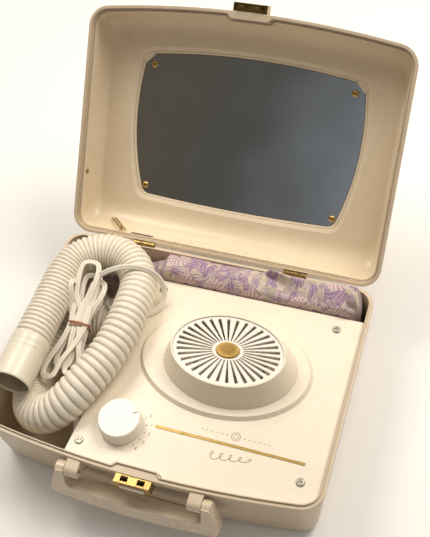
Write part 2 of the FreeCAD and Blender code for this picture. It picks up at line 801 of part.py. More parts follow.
def make_outlet_spigot():
    """The round outlet that stands out of the divider and carries the hose."""
    root = HEATER_END
    tip = HOSE_POINTS[0].x - SPIGOT_IN_HOSE
    flange = duct_box(SCROLL_WALL, root - 12, root).cut(divider_wall())
    flange = flange.cut(block(-200, divider_x(DUCT_Y), -200, 200, 0, 100))
    flange = max(flange.Solids, key=lambda solid: solid.BoundBox.XMax)
    tube = rod(SPIGOT_RADIUS, V(tip, DUCT_Y, SPIGOT_Z), V(root, DUCT_Y, SPIGOT_Z))
    bore = rod(
        SPIGOT_RADIUS - SPIGOT_WALL, V(tip - OVER, DUCT_Y, SPIGOT_Z),
        V(root + OVER, DUCT_Y, SPIGOT_Z),
    )
    return fuse([flange, tube]).cut(bore)


def divider_wall():
    """The upright wall under the faceplate's left and back edges, with no holes."""
    low = WALL
    high = PLATE_UNDER
    front = front_y(PLATE_LEFT_FRONT, RIM_INSET) + 1.0
    back = PLATE_BACK - DIVIDER_SET
    half = CASE_WIDTH / 2
    outline = [V(divider_x(front), front, low), V(divider_x(back), back, low), V(half, back, low)]
    outline += [
        V(half, back - DIVIDER_WALL, low),
        V(divider_x(back - DIVIDER_WALL, DIVIDER_WALL), back - DIVIDER_WALL, low),
    ]
    outline += [V(divider_x(front, DIVIDER_WALL), front, low)]
    return prism(outline, V(0, 0, high - low))


def make_compartment_divider():
    wall = divider_wall().common(base_cavity()).cut(handle_recess_backing())
    around = rod(SPIGOT_RADIUS, V(-90, DUCT_Y, SPIGOT_Z), V(HEATER_END, DUCT_Y, SPIGOT_Z))
    inlet = rod(RELIEF_ROOT, V(-90, LEAD_Y, LEAD_Z), V(-40, LEAD_Y, LEAD_Z))
    wall = cut(wall, [around, inlet])
    for x, y in PLATE_SCREWS:
        wall = wall.cut(disc(BOSS_RADIUS + 0.3, x, y, WALL - OVER, PLATE_UNDER + OVER))
    return wall


# ---------------------------------------------------------- hose and its ends
LEAD_Y = 60.0
LEAD_Z = PLATE_TOP - 20.0
RELIEF_ROOT = 4.0
SPIGOT_IN_HOSE = 4.0


def over_plate(x, y, lift):
    """A point of a route, with its height measured from the faceplate's top."""
    return V(x, y, PLATE_TOP + lift)


HOSE_POINTS = [
    V(-82, DUCT_Y, SPIGOT_Z), V(-101, DUCT_Y, SPIGOT_Z), over_plate(-118.5, 23, -24),
    over_plate(-131, 8.5, -24.5), over_plate(-138, -9.5, -24.5),
    over_plate(-141, -30, -24), over_plate(-141.5, -52, -22.5), over_plate(-138, -71.5, -19),
    over_plate(-128.5, -87.5, -13), over_plate(-113, -95.5, -5),
    over_plate(-97, -91, 4.5), over_plate(-84.5, -78, 14), over_plate(-75, -60.5, 20.5),
    over_plate(-67, -41, 22.8), over_plate(-61.5, -20, 24.3),
    over_plate(-59, 3, 25.4), over_plate(-59.5, 26, 25), over_plate(-61, 46, 22),
    over_plate(-66, 63.5, 19.6), over_plate(-76.5, 79, 19.4),
    over_plate(-92, 88.5, 20), over_plate(-110.5, 90, 21), over_plate(-127, 83, 22),
    over_plate(-139, 69.5, 22.4), over_plate(-143.6, 51, 22.6),
    over_plate(-144, 29, 22.3), over_plate(-143.6, 7, 22.3), over_plate(-144, -15, 22.6),
    over_plate(-143.8, -35, 23),
]


def make_hose():
    path = tube_path("hose", HOSE_POINTS)
    outer = sweep(path, HOSE_RADIUS)
    inner = sweep(path, HOSE_RADIUS - HOSE_WALL)
    area = math.pi * (HOSE_RADIUS ** 2 - (HOSE_RADIUS - HOSE_WALL) ** 2)
    hose = outer.cut(inner)
    check_volume("hose", hose, area, path)
    return hose


def make_hose_collar():
    """The smooth sleeve between the outlet spigot and the hose."""
    start = HOSE_POINTS[0]
    end = V(divider_x(DUCT_Y) - 4, DUCT_Y, SPIGOT_Z)
    outer = rod(HOSE_RADIUS, start, end)
    return outer.cut(rod(SPIGOT_RADIUS, start - V(OVER, 0, 0), end + V(OVER, 0, 0)))


def make_hose_cuff():
    """The smooth open cuff at the free end, which carries the bonnet in use."""
    start = HOSE_POINTS[-1]
    heading = (start - HOSE_POINTS[-2]).normalize()
    end = start + heading * CUFF_LENGTH
    outer = rod(CUFF_RADIUS, start, end)
    return outer.cut(rod(CUFF_BORE, start - heading, end + heading))


# ------------------------------------------------------------------ the lead
LEAD_POINTS = [
    V(-80, LEAD_Y, LEAD_Z), V(-89, LEAD_Y, LEAD_Z), over_plate(-97.5, 53.5, -15),
    over_plate(-99, 44, -5.5), over_plate(-90.5, 35.5, 0.6), over_plate(-77.5, 31, 2.3),
    over_plate(-63, 30.5, 2.4), over_plate(-50, 35, 2.5), over_plate(-40, 43.5, 3),
    over_plate(-36.5, 54.5, 8), over_plate(-37.5, 62.5, 18), over_plate(-43.5, 66.5, 28.5),
    over_plate(-53, 66.5, 37.8), over_plate(-65, 64.5, 42.9), over_plate(-78, 61, 43),
    over_plate(-90.5, 56.5, 40.3), over_plate(-101, 52.5, 33.5), over_plate(-108, 51, 24.5),
]


def make_strain_relief():
    x_wall = divider_x(LEAD_Y)
    tip = LEAD_POINTS[0].x
    taper = Part.makeCone(
        RELIEF_ROOT, LEAD_RADIUS + 0.8, x_wall - tip - 1, V(x_wall - 1, LEAD_Y, LEAD_Z),
        V(-1, 0, 0),
    )
    flange = rod(RELIEF_ROOT + 2, V(x_wall - 2.5, LEAD_Y, LEAD_Z), V(x_wall - 0.7, LEAD_Y, LEAD_Z))
    root = rod(
        RELIEF_ROOT, V(x_wall - 1, LEAD_Y, LEAD_Z), V(x_wall + DIVIDER_WALL + 3, LEAD_Y, LEAD_Z),
    )
    return fuse([taper, flange, root]).cut(divider_wall().cut(rod(
        RELIEF_ROOT, V(-90, LEAD_Y, LEAD_Z), V(-40, LEAD_Y, LEAD_Z),
    )))


def make_mains_lead():
    path = tube_path("lead", LEAD_POINTS)
    lead = sweep(path, LEAD_RADIUS)
    check_volume("lead", lead, math.pi * LEAD_RADIUS ** 2, path)
    return lead


HANK_A = over_plate(-115.5, 52, 18)
HANK_B = over_plate(-105, -48, 1)
HANK_STATIONS = ((0.0, 5, 5), (0.12, 10, 7.5), (0.5, 10, 7), (0.85, 13, 7.5), (1.0, 7, 5))


def hank_placement():
    heading = (HANK_B - HANK_A).normalize()
    side = V(heading.y, -heading.x, 0).normalize()
    up = side.cross(heading).normalize()
    row = (
        side.x, up.x, -heading.x, 0, side.y, up.y, -heading.y, 0, side.z, up.z, -heading.z, 0, 0, 0,
        0,
        1,
    )
    return FreeCAD.Matrix(*row)


def make_lead_hank():
    """The folded length of the lead, tied at its middle."""
    wires = []
    for share, wide, tall in HANK_STATIONS:
        wire = Part.Wire([Part.Ellipse(V(0, 0, 0), wide, tall).toShape()])
        if wide == tall:
            wire = Part.Wire([Part.Circle(V(0, 0, 0), Z_AXIS, wide).toShape()])
        wire = wire.transformGeometry(hank_placement())
        wire.translate(HANK_A + (HANK_B - HANK_A) * share)
        wires.append(wire)
    return Part.makeLoft(wires, True, False)


def make_rubber_band():
    wide = HANK_STATIONS[2][1] + BAND_SPARE
    tall = HANK_STATIONS[2][2] + BAND_SPARE
    outer = Part.Face(Part.Wire([Part.Ellipse(
        V(0, 0, 0), wide + BAND_THICK, tall + BAND_THICK,
    ).toShape()]))
    inner = Part.Face(Part.Wire([Part.Ellipse(V(0, 0, 0), wide, tall).toShape()]))
    band = outer.cut(inner).extrude(V(0, 0, 3.0))
    band = band.transformGeometry(hank_placement())
    heading = (HANK_B - HANK_A).normalize()
    band.translate(HANK_A + (HANK_B - HANK_A) * HANK_STATIONS[2][0] + heading * 1.5)
    return band


PLUG_HALF = 8.0
PLUG_AT = V(-98, -45, WALL + PLUG_HALF)


def make_mains_plug():
    """A flat two-pin plug lying on the floor of the hose compartment."""
    body = block(-12, 12, -15, 15, -PLUG_HALF, PLUG_HALF)
    body = body.makeFillet(4.0, body.Edges)
    relief = Part.makeCone(5, 3, 20, V(0, -14, 0), V(0, -1, 0))
    shapes = [body, relief]
    for side in (-1, 1):
        x = side * 6.35
        shapes.append(block(x - 0.75, x + 0.75, 14, 31, -3.2, 3.2))
    plug = fuse(shapes)
    plug.translate(PLUG_AT)
    return plug


# ------------------------------------------------------------------- bonnet
BONNET_LEFT = -56.0
BONNET_RIGHT = 163.5
BONNET_FRONT = PLATE_BACK + 1.2
BONNET_BACK = CASE_DEPTH / 2 - RIM_INSET - 1.2
BONNET_LOW = WALL + 5.0
BONNET_TAIL_LEFT = -134.0
BONNET_TAIL_HIGH = BASE_HEIGHT - 14.0
BONNET_HIGH = BASE_HEIGHT + 8.0


def make_bonnet():
    """The folded cloth bonnet, as the space that it fills in the rear compartment."""
    front = BONNET_FRONT
    back = BONNET_BACK
    low_back = back - DRAFT
    points = [
        V(0, front, BONNET_LOW + 6), V(0, front + 6, BONNET_LOW), V(0, low_back - 6, BONNET_LOW),
        V(0, low_back, BONNET_LOW + 6),
    ]
    points += [
        V(0, back, BASE_HEIGHT - 4), V(0, back - 6, BONNET_HIGH), V(0, front + 10, BONNET_HIGH),
        V(0, front, BASE_HEIGHT - 5),
    ]
    body = prism(points, V(BONNET_RIGHT - BONNET_LEFT, 0, 0))
    body.translate(V(BONNET_LEFT, 0, 0))
    tail = prism(points, V(BONNET_LEFT - BONNET_TAIL_LEFT + OVER, 0, 0))
    tail.translate(V(BONNET_TAIL_LEFT, 0, 0))
    tail = tail.common(block(-CASE_WIDTH, CASE_WIDTH, front - OVER, back, 0, BONNET_TAIL_HIGH))
    side = plan_prism(RIM_INSET + 6.5, BONNET_LOW - OVER, BONNET_HIGH + OVER)
    return fuse([body, tail]).common(side)


# ------------------------------------------------------------------- handle
def handle_turned(shape):
    copy = shape.copy()
    copy.rotate(V(0, HANDLE_Y, HANDLE_Z), X_AXIS, -HANDLE_LEAN)
    return copy


def make_handle_brackets():
    lugs = []
    for side in (-1, 1):
        x0 = side * BRACKET_X - BRACKET_WIDTH / 2
        root_y = front_y(BRACKET_X, BAND_OUT) + 0.4
        band_z = BASE_HEIGHT - BAND_HEIGHT
        r = BRACKET_RADIUS
        knuckle = rod(r, V(x0, HANDLE_Y, HANDLE_Z), V(x0 + BRACKET_WIDTH, HANDLE_Y, HANDLE_Z))
        band_y = front_y(BRACKET_X + BRACKET_WIDTH / 2)
        points = [
            V(x0, HANDLE_Y, HANDLE_Z + r), V(x0, band_y + 0.6, BASE_HEIGHT - 1.5),
            V(x0, band_y + 0.6, band_z),
        ]
        points += [
            V(x0, root_y + RECESS_DEPTH + 1.2, band_z),
            V(x0, root_y + RECESS_DEPTH + 1.2, HANDLE_Z - r - 10), V(x0, HANDLE_Y, HANDLE_Z - r),
        ]
        web = prism(points, V(BRACKET_WIDTH, 0, 0))
        lug = fuse([knuckle, web]).cut(base_outer().cut(handle_recess()))
        lug = lug.cut(rod(
            HANDLE_PIN, V(x0 - OVER, HANDLE_Y, HANDLE_Z),
            V(x0 + BRACKET_WIDTH + OVER, HANDLE_Y, HANDLE_Z),
        ))
        lugs.append(lug)
    return group(lugs)


def make_handle_pins():
    pins = []
    for side in (-1, 1):
        near = side * (BRACKET_X - BRACKET_WIDTH / 2)
        far = side * (BRACKET_X + BRACKET_WIDTH / 2 + HANDLE_SIDE_GAP + HANDLE_ARM - 2)
        pins.append(rod(HANDLE_PIN, V(near, HANDLE_Y, HANDLE_Z), V(far, HANDLE_Y, HANDLE_Z)))
    return group(pins)


HANDLE_INNER = BRACKET_X + BRACKET_WIDTH / 2 + HANDLE_SIDE_GAP
HANDLE_OUTER = HANDLE_INNER + HANDLE_ARM


def make_handle():
    """A rigid bail: two arms outside the brackets and a crescent grip."""
    half = HANDLE_THICK / 2
    inner = HANDLE_INNER
    outer = HANDLE_OUTER
    grip = HANDLE_Z - HANDLE_DROP
    y = HANDLE_Y - half
    z = HANDLE_Z
    edges = [
        line(V(-inner, y, z + 4), V(-inner, y, z - 12)),
        arc(V(-inner, y, z - 12), V(-inner + 3, y, z - 19), V(-inner + 10, y, z - 21)),
        arc(V(-inner + 10, y, z - 21), V(0, y, z - 24), V(inner - 10, y, z - 21)),
        arc(V(inner - 10, y, z - 21), V(inner - 3, y, z - 19), V(inner, y, z - 12)),
        line(V(inner, y, z - 12), V(inner, y, z + 4)),
        line(V(inner, y, z + 4), V(outer - 3, y, z + 4)),
        arc(V(outer - 3, y, z + 4), V(outer - 0.9, y, z + 3.1), V(outer, y, z + 1)),
        line(V(outer, y, z + 1), V(outer + 7, y, grip + 10)),
        arc(V(outer + 7, y, grip + 10), V(outer + 6, y, grip + 4), V(outer, y, grip + 1)),
        arc(V(outer, y, grip + 1), V(0, y, grip - 6), V(-outer, y, grip + 1)),
        arc(V(-outer, y, grip + 1), V(-outer - 6, y, grip + 4), V(-outer - 7, y, grip + 10)),
        line(V(-outer - 7, y, grip + 10), V(-outer, y, z + 1)),
        arc(V(-outer, y, z + 1), V(-outer + 0.9, y, z + 3.1), V(-outer + 3, y, z + 4)),
        line(V(-outer + 3, y, z + 4), V(-inner, y, z + 4)),
    ]
    body = Part.Face(Part.Wire(edges)).extrude(V(0, HANDLE_THICK, 0))
    hole = rod(
        HANDLE_PIN + HANDLE_PIN_RUN, V(-outer + 2 - 0.3, HANDLE_Y, z),
        V(outer - 2 + 0.3, HANDLE_Y, z),
    )
    knuckles = []
    for side in (-1, 1):
        knuckles.append(rod(
            HANDLE_THICK / 2, V(side * inner, HANDLE_Y, z), V(side * (outer - 0.5), HANDLE_Y, z),
        ))
    body = fuse([body] + knuckles)
    return handle_turned(body.cut(hole))


# -------------------------------------------------------------------- latch
LATCH_FRONT = front_y(0) - LATCH_DEPTH
LATCH_TOP = BASE_HEIGHT - 1.0


def sheet_box(y_front, y_back, z0, z1):
    outer = block(-LATCH_HALF, LATCH_HALF, y_front, y_back, z0, z1)
    t = LATCH_SHEET
    inner = block(-LATCH_HALF + t, LATCH_HALF - t, y_front + t, y_back + OVER, z0 + t, z1 - t)
    return outer.cut(inner)


def make_latch_housing():
    low = LATCH_TOP - LATCH_HEIGHT
    back = front_y(0) + 2 * OVER
    box = sheet_box(LATCH_FRONT, back, low, LATCH_TOP).cut(base_outer())
    holes = []
    for side in (-1, 1):
        x = side * HOOK_X
        holes.append(block(
            x - 3.6, x + 3.6, LATCH_FRONT + 2.0, front_y(0) - 1.5, LATCH_TOP - 2, LATCH_TOP + OVER,
        ))
    holes.append(block(-12.4, 12.4, LATCH_FRONT - OVER, LATCH_FRONT + 1.5, low + 2.6, low + 10.4))
    return cut(box, holes)


def make_latch_button():
    """The release plate: pressing it moves the catch off the hooks."""
    low = LATCH_TOP - LATCH_HEIGHT
    face = block(-12.0, 12.0, LATCH_FRONT - 1.6, LATCH_FRONT + 2.2, low + 3.0, low + 10.0)
    face = face.makeFillet(0.6, [e for e in face.Edges if e.BoundBox.YMax < LATCH_FRONT - 1.5])
    return face


def make_latch_spring():
    low = LATCH_TOP - LATCH_HEIGHT
    start = LATCH_FRONT + 2.2
    end = front_y(0)
    coil = rod(2.4, V(0, start, low + 6.5), V(0, end, low + 6.5))
    return coil.cut(rod(1.6, V(0, start - OVER, low + 6.5), V(0, end + OVER, low + 6.5)))


def make_lid_latch():
    back = front_y(0)
    z0 = BASE_HEIGHT + RIM_GAP
    t = LATCH_SHEET
    outer = block(-LATCH_HALF, LATCH_HALF, LATCH_FRONT, back, z0, z0 + 12)
    inner = block(
        -LATCH_HALF + t, LATCH_HALF - t, LATCH_FRONT + t, back + OVER, z0 - OVER, z0 + 12 - t,
    )
    return outer.cut(inner)


def make_lid_hooks():
    """Two hooks that drop through the latch's top when the lid is shut."""
    hooks = []
    low = LATCH_TOP - HOOK_DROP
    z0 = BASE_HEIGHT + RIM_GAP
    mid = (LATCH_FRONT + front_y(0)) / 2
    for side in (-1, 1):
        x = side * HOOK_X
        tall = block(x - 2.4, x + 2.4, mid - 0.6, mid + 0.4, low, z0 + 12 - LATCH_SHEET)
        toe = block(x - 2.4, x + 2.4, mid - 1.6, mid, low, low + 1.0)
        hooks.append(fuse([tall, toe]))
    return group(hooks)


def make_lid_latch_rivets():
    rivets = []
    z0 = BASE_HEIGHT + RIM_GAP
    mid = (LATCH_FRONT + front_y(0)) / 2
    for side in (-1, 1):
        x = side * (LATCH_HALF - 4.2)
        rivets.append(disc(1.8, x, mid, z0 + 12 - LATCH_SHEET - 1.4, z0 + 12 - LATCH_SHEET))
    return group(rivets)


# ------------------------------------------------------------------- hinges
def knuckle_spans():
    third = HINGE_WIDTH / 3
    gap = 0.2
    base = ((-1.5 * third, -0.5 * third - gap), (0.5 * third + gap, 1.5 * third))
    lid = ((-0.5 * third + gap, 0.5 * third - gap),)
    return base, lid


def hinge_leaves(spans, direction):
    """Leaves on the outside of the back walls; direction is -1 for the base, 1 for the lid."""
    leaves = []
    wall_y = CASE_DEPTH / 2 - BAND_OUT
    for side in (-1, 1):
        x = side * HINGE_X
        half = HINGE_WIDTH / 2
        solids = []
        band = BAND_HEIGHT + 0.2
        z_band = HINGE_Z + direction * (band + (RIM_GAP if direction > 0 else 0))
        z_far = z_band + direction * HINGE_LEAF_DEPTH
        solids.append(block(
            x - half, x + half, wall_y, wall_y + HINGE_LEAF, min(z_band, z_far), max(z_band, z_far),
        ))
        for a, b in spans:
            outer_y = CASE_DEPTH / 2
            z_edge = HINGE_Z + direction * 1.0
            solids.append(rod(
                HINGE_KNUCKLE, V(x + a, HINGE_Y, HINGE_Z), V(x + b, HINGE_Y, HINGE_Z),
            ))
            solids.append(block(
                x + a, x + b, outer_y, outer_y + HINGE_LEAF, min(z_edge, z_band),
                max(z_edge, z_band),
            ))
            solids.append(block(
                x + a, x + b, wall_y, outer_y + HINGE_LEAF, min(z_band, z_band + direction),
                max(z_band, z_band + direction),
            ))
        leaf = fuse(solids)
        for a, b in spans:
            radius = HINGE_PIN if direction < 0 else HINGE_PIN + SHAFT_RUN
            leaf = leaf.cut(rod(
                radius, V(x + a - OVER, HINGE_Y, HINGE_Z), V(x + b + OVER, HINGE_Y, HINGE_Z),
            ))
        leaves.append(leaf)
    return group(leaves)


def make_hinge_pins():
    pins = []
    for side in (-1, 1):
        x = side * HINGE_X
        half = HINGE_WIDTH / 2
        pins.append(rod(HINGE_PIN, V(x - half, HINGE_Y, HINGE_Z), V(x + half, HINGE_Y, HINGE_Z)))
    return group(pins)


# ---------------------------------------------------------------------- lid
LID_RIM = BASE_HEIGHT + RIM_GAP


def lid_body(inset, skin, height, low):
    """A closed form of the lid: upright walls from z = low, then a cove up to height."""
    ends = LID_COVE_ENDS + skin
    sides = LID_COVE_SIDES + skin
    start = LID_RIM + height - ends
    wires = []
    for step in range(COVE_STEPS + 1):
        turn = math.radians(90.0 * step / COVE_STEPS)
        across = 1 - math.cos(turn)
        z = start + math.sin(turn) * ends
        wires.append(plan_wire(
            z, inset + sides * across, inset + ends * across, inset + ends * across, sides * across,
        ))
    wall = Part.Face(plan_wire(low, inset, inset, inset)).extrude(V(0, 0, start - low))
    cove = Part.makeLoft(wires, True, False)
    return wall.fuse(cove).removeSplitter()


def lid_rebate():
    grow = TONGUE_WIDTH + TONGUE_CLEARANCE
    top = LID_RIM + TONGUE_HEIGHT + 0.6
    outer = plan_prism(RIM_INSET - grow, LID_RIM - OVER, top)
    return outer.cut(latch_pad(-grow, LID_RIM - 2 * OVER, top + OVER))


def make_lid_shell():
    outer = lid_body(BAND_OUT, LID_SKIN, LID_HEIGHT, LID_RIM)
    outer = outer.fuse(plan_prism(0, LID_RIM, LID_RIM + BAND_HEIGHT)).removeSplitter()
    inner = lid_body(RIM_INSET, 0, LID_HEIGHT - LID_SKIN, LID_RIM - OVER)
    inner = inner.cut(latch_pad(0, LID_RIM - 2 * OVER, LID_RIM + LID_PAD_HEIGHT))
    shell = outer.cut(inner).cut(lid_rebate())
    return cut(shell, hinge_notches(LID_RIM - OVER, BASE_HEIGHT + HINGE_KNUCKLE + 0.6))


def mirror_outline(grow, z):
    front = MIRROR_Y - MIRROR_HALF_LENGTH - grow
    back = MIRROR_Y + MIRROR_HALF_LENGTH + grow
    wf = MIRROR_HALF_FRONT_END + grow
    wb = MIRROR_HALF_HINGE_END + grow
    wm = (wf + wb) / 2 + MIRROR_SIDE_BOW
    mid = (front + back) / 2
    edges = [
        arc(V(-wf, front, z), V(0, front - MIRROR_FRONT_BOW, z), V(wf, front, z)),
        arc(V(wf, front, z), V(wm, mid, z), V(wb, back, z)),
        arc(V(wb, back, z), V(0, back + MIRROR_HINGE_BOW, z), V(-wb, back, z)),
        arc(V(-wb, back, z), V(-wm, mid, z), V(-wf, front, z)),
    ]
    return Part.Wire(edges)


def mirror_prism(grow, z0, z1):
    body = Part.Face(mirror_outline(grow, z0)).extrude(V(0, 0, z1 - z0))
    tall = (z1 - z0) * 0.99
    upright = [e for e in body.Edges if e.BoundBox.ZLength > tall]
    corners = [e for e in upright if e.BoundBox.XLength < 0.01]
    return body.makeFillet(max(MIRROR_CORNER + grow, 1.0), corners)


FLOOR_Z = LID_RIM + LID_FLOOR
MIRROR_FACE = FLOOR_Z + MIRROR_DROP
MIRROR_BACK = MIRROR_FACE + MIRROR_THICK


def make_lid_liner():
    """The moulded inner tray, with a bevelled well that holds the mirror."""
    skirt = LID_RIM + LINER_SKIRT
    outer = lid_body(RIM_INSET + LINER_GAP, 0, LID_FLOOR + LINER, skirt)
    inner = lid_body(RIM_INSET + LINER_GAP + LINER_WALL, 0, LID_FLOOR, skirt - OVER)
    inner = inner.cut(latch_pad(
        LINER_GAP + LINER_WALL, skirt - 2 * OVER, LID_RIM + LID_PAD_HEIGHT + LINER_GAP + LINER_WALL,
    ))
    tray = outer.cut(inner).cut(latch_pad(
        LINER_GAP, skirt - OVER, LID_RIM + LID_PAD_HEIGHT + LINER_GAP,
    ))
    tub = mirror_prism(MIRROR_GAP + LINER, FLOOR_Z + 0.5, MIRROR_BACK + MIRROR_CARD + LINER_WALL)
    well = mirror_prism(MIRROR_GAP, FLOOR_Z - OVER, MIRROR_BACK + MIRROR_CARD)
    body = cut(fuse([tray, tub]), [well, bevel_cut()])
    for x, y in mirror_screw_places():
        body = body.cut(disc(SCREW_SHANK, x, y, MIRROR_BACK - OVER, MIRROR_BACK + 4))
    return body


def bevel_cut():
    """The sloping surround between the lid's floor and the mirror."""
    low = bottom_wire(mirror_prism(MIRROR_BEVEL, FLOOR_Z, FLOOR_Z + 1), FLOOR_Z)
    high = bottom_wire(mirror_prism(MIRROR_GAP, MIRROR_FACE, MIRROR_FACE + 1), MIRROR_FACE)
    return Part.makeLoft([low, high], True, True)


def bottom_wire(solid, z):
    for face in solid.Faces:
        box = face.BoundBox
        if abs(box.ZMin - z) < 0.001 and abs(box.ZMax - z) < 0.001:
            return face.OuterWire
    raise ValueError("no face at %.2f" % z)


def mirror_screw_places():
    places = []
    for side in (-1, 1):
        places.append((
            side * (MIRROR_HALF_FRONT_END - MIRROR_SCREW_INSET + 0.5),
            MIRROR_Y - MIRROR_HALF_LENGTH + MIRROR_SCREW_INSET + 1,
        ))
        places.append((
            side * (MIRROR_HALF_HINGE_END - MIRROR_SCREW_INSET + 7),
            MIRROR_Y + MIRROR_HALF_LENGTH - MIRROR_SCREW_INSET,
        ))
    return places


def make_mirror():
    glass = mirror_prism(0, MIRROR_FACE, MIRROR_BACK)
    for x, y in mirror_screw_places():
        glass = glass.cut(disc(SCREW_SHANK + 0.2, x, y, MIRROR_FACE - OVER, MIRROR_BACK + OVER))
    return glass


def make_mirror_backing():
    card = mirror_prism(-1.0, MIRROR_BACK, MIRROR_BACK + MIRROR_CARD)
    for x, y in mirror_screw_places():
        card = card.cut(disc(SCREW_SHANK + 0.2, x, y, MIRROR_BACK - OVER, MIRROR_BACK + 2))
    return card


def make_mirror_screws():
    screws = []
    for x, y in mirror_screw_places():
        head = Part.makeSphere(
            4.4, V(x, y, MIRROR_FACE + 2.4),
        ).common(block(x - 5, x + 5, y - 5, y + 5, MIRROR_FACE - 3, MIRROR_FACE))
        shank = disc(SCREW_SHANK, x, y, MIRROR_FACE - 0.5, MIRROR_BACK + MIRROR_CARD)
        screw = fuse([head, shank])
        slot = block(-3.4, 3.4, -0.45, 0.45, MIRROR_FACE - 3, MIRROR_FACE - 1.2)
        slot.rotate(V(0, 0, 0), Z_AXIS, 40 if x > 0 else -25)
        slot.translate(V(x, y, 0))
        screws.append(screw.cut(slot))
    return group(screws)


def make_mirror_clips():
    """Two moulded lips that hook over the mirror's front corners."""
    clips = []
    for side in (-1, 1):
        x = side * (MIRROR_HALF_FRONT_END - 1.0)
        y = MIRROR_Y - MIRROR_HALF_LENGTH + 1.0
        post = block(-7, 7, -3.2, -0.4, 0, 1)
        lip = block(-7, 7, -3.2, 3.4, -1.6, 0)
        body = fuse([post, lip])
        body = body.makeFillet(0.7, [e for e in body.Edges if e.BoundBox.ZMax < -1.5])
        body.rotate(V(0, 0, 0), Z_AXIS, -side * -45)
        body.translate(V(x, y, MIRROR_FACE - 0.05))
        clips.append(body)
    return group(clips)


def make_lid_stop_arm():
    """Two thin brass strips on the lid's back wall, joined by a rivet."""
    wall_y = CASE_DEPTH / 2 - RIM_INSET - LINER_WALL - LINER_GAP
    foot = V(STOP_FOOT_X, wall_y - 0.8 - STOP_CLEAR, LID_RIM + STOP_FOOT_H)
    head = V(STOP_HEAD_X, wall_y - STOP_LEAN - STOP_CLEAR, LID_RIM + STOP_HEAD_H)
    strips = []
    along = (head - foot).normalize()
    out = V(0, -1, 0)
    out = (out - along * out.dot(along)).normalize()
    across = along.cross(out)
    for shift in (-STOP_SPREAD, STOP_SPREAD):
        corner = foot + across * (shift - 0.9)
        points = [
            corner, corner + across * 1.8, corner + across * 1.8 + out * 0.8, corner + out * 0.8,
        ]
        strips.append(prism(points, head - foot))
    middle = foot + (head - foot) * 0.25
    tie = rod(
        0.9, middle - across * (STOP_SPREAD + 0.9) + out * 0.4,
        middle + across * (STOP_SPREAD + 0.9) + out * 0.4,
    )
    rivet = rod(1.2, V(middle.x, wall_y - STOP_SEAT, middle.z), middle + out * 1.6)
    return fuse(strips + [tie, rivet])


def make_lid_eyelet():
    """A small brass eyelet in the lid's left wall."""
    x = -CASE_WIDTH / 2 + RIM_INSET + LINER_GAP + LINER_WALL
    ring = rod(2.6, V(x, 55, LID_RIM + 12), V(x + 0.9, 55, LID_RIM + 12))
    return ring.cut(rod(1.3, V(x - 2, 55, LID_RIM + 12), V(x + 2, 55, LID_RIM + 12)))


def build():
    os.makedirs("parts", exist_ok=True)
    base, lid = knuckle_spans()
    fixed = {
        "base_shell": make_base_shell,
        "compartment_divider": make_compartment_divider,
        "faceplate": make_faceplate,
        "faceplate_screws": make_faceplate_screws,
        "trim_stripe": make_trim_stripe,
        "intake_dome": make_intake_dome,
        "intake_grille": make_intake_grille,
        "medallion": make_medallion,
        "control_knob": make_control_knob,
        "switch_shaft": make_switch_shaft,
        "rotary_switch": make_rotary_switch,
        "blower_scroll": make_blower_scroll,
        "scroll_cover": make_scroll_cover,
        "fan_impeller": make_fan_impeller,
        "motor_shaft": make_motor_shaft,
        "motor_rotor": make_motor_rotor,
        "motor_stator": make_motor_stator,
        "motor_bearings": make_motor_bearings,
        "motor_posts": make_motor_posts,
        "heater_duct": make_heater_duct,
        "heater_frame": make_heater_frame,
        "heater_coil": make_heater_coil,
        "thermostat": make_thermostat,
        "outlet_spigot": make_outlet_spigot,
        "hose": make_hose,
        "hose_collar": make_hose_collar,
        "hose_cuff": make_hose_cuff,
        "strain_relief": make_strain_relief,
        "mains_lead": make_mains_lead,
        "lead_hank": make_lead_hank,
        "rubber_band": make_rubber_band,
        "mains_plug": make_mains_plug,
        "bonnet": make_bonnet,
        "handle": make_handle,
        "handle_brackets": make_handle_brackets,
        "handle_pins": make_handle_pins,
        "latch_housing": make_latch_housing,
        "latch_button": make_latch_button,
        "latch_spring": make_latch_spring,
        "hinge_pins": make_hinge_pins,
    }
    for name, make in fixed.items():
        save(name, make())
    save("hinge_leaves_base", hinge_leaves(base, -1))
    save("hinge_leaves_lid", opened(hinge_leaves(lid, 1)))
    turning = {
        "lid_shell": make_lid_shell,
        "lid_liner": make_lid_liner,
        "mirror": make_mirror,
        "mirror_backing": make_mirror_backing,
        "mirror_screws": make_mirror_screws,
        "mirror_clips": make_mirror_clips,
        "lid_latch": make_lid_latch,
        "lid_hooks": make_lid_hooks,
        "lid_latch_rivets": make_lid_latch_rivets,
        "lid_stop_arm": make_lid_stop_arm,
        "lid_eyelet": make_lid_eyelet,
    }
    for name, make in turning.items():
        save(name, opened(make()))


build()
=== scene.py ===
import math

import bpy
import numpy as np
from mathutils import Matrix, Vector, noise


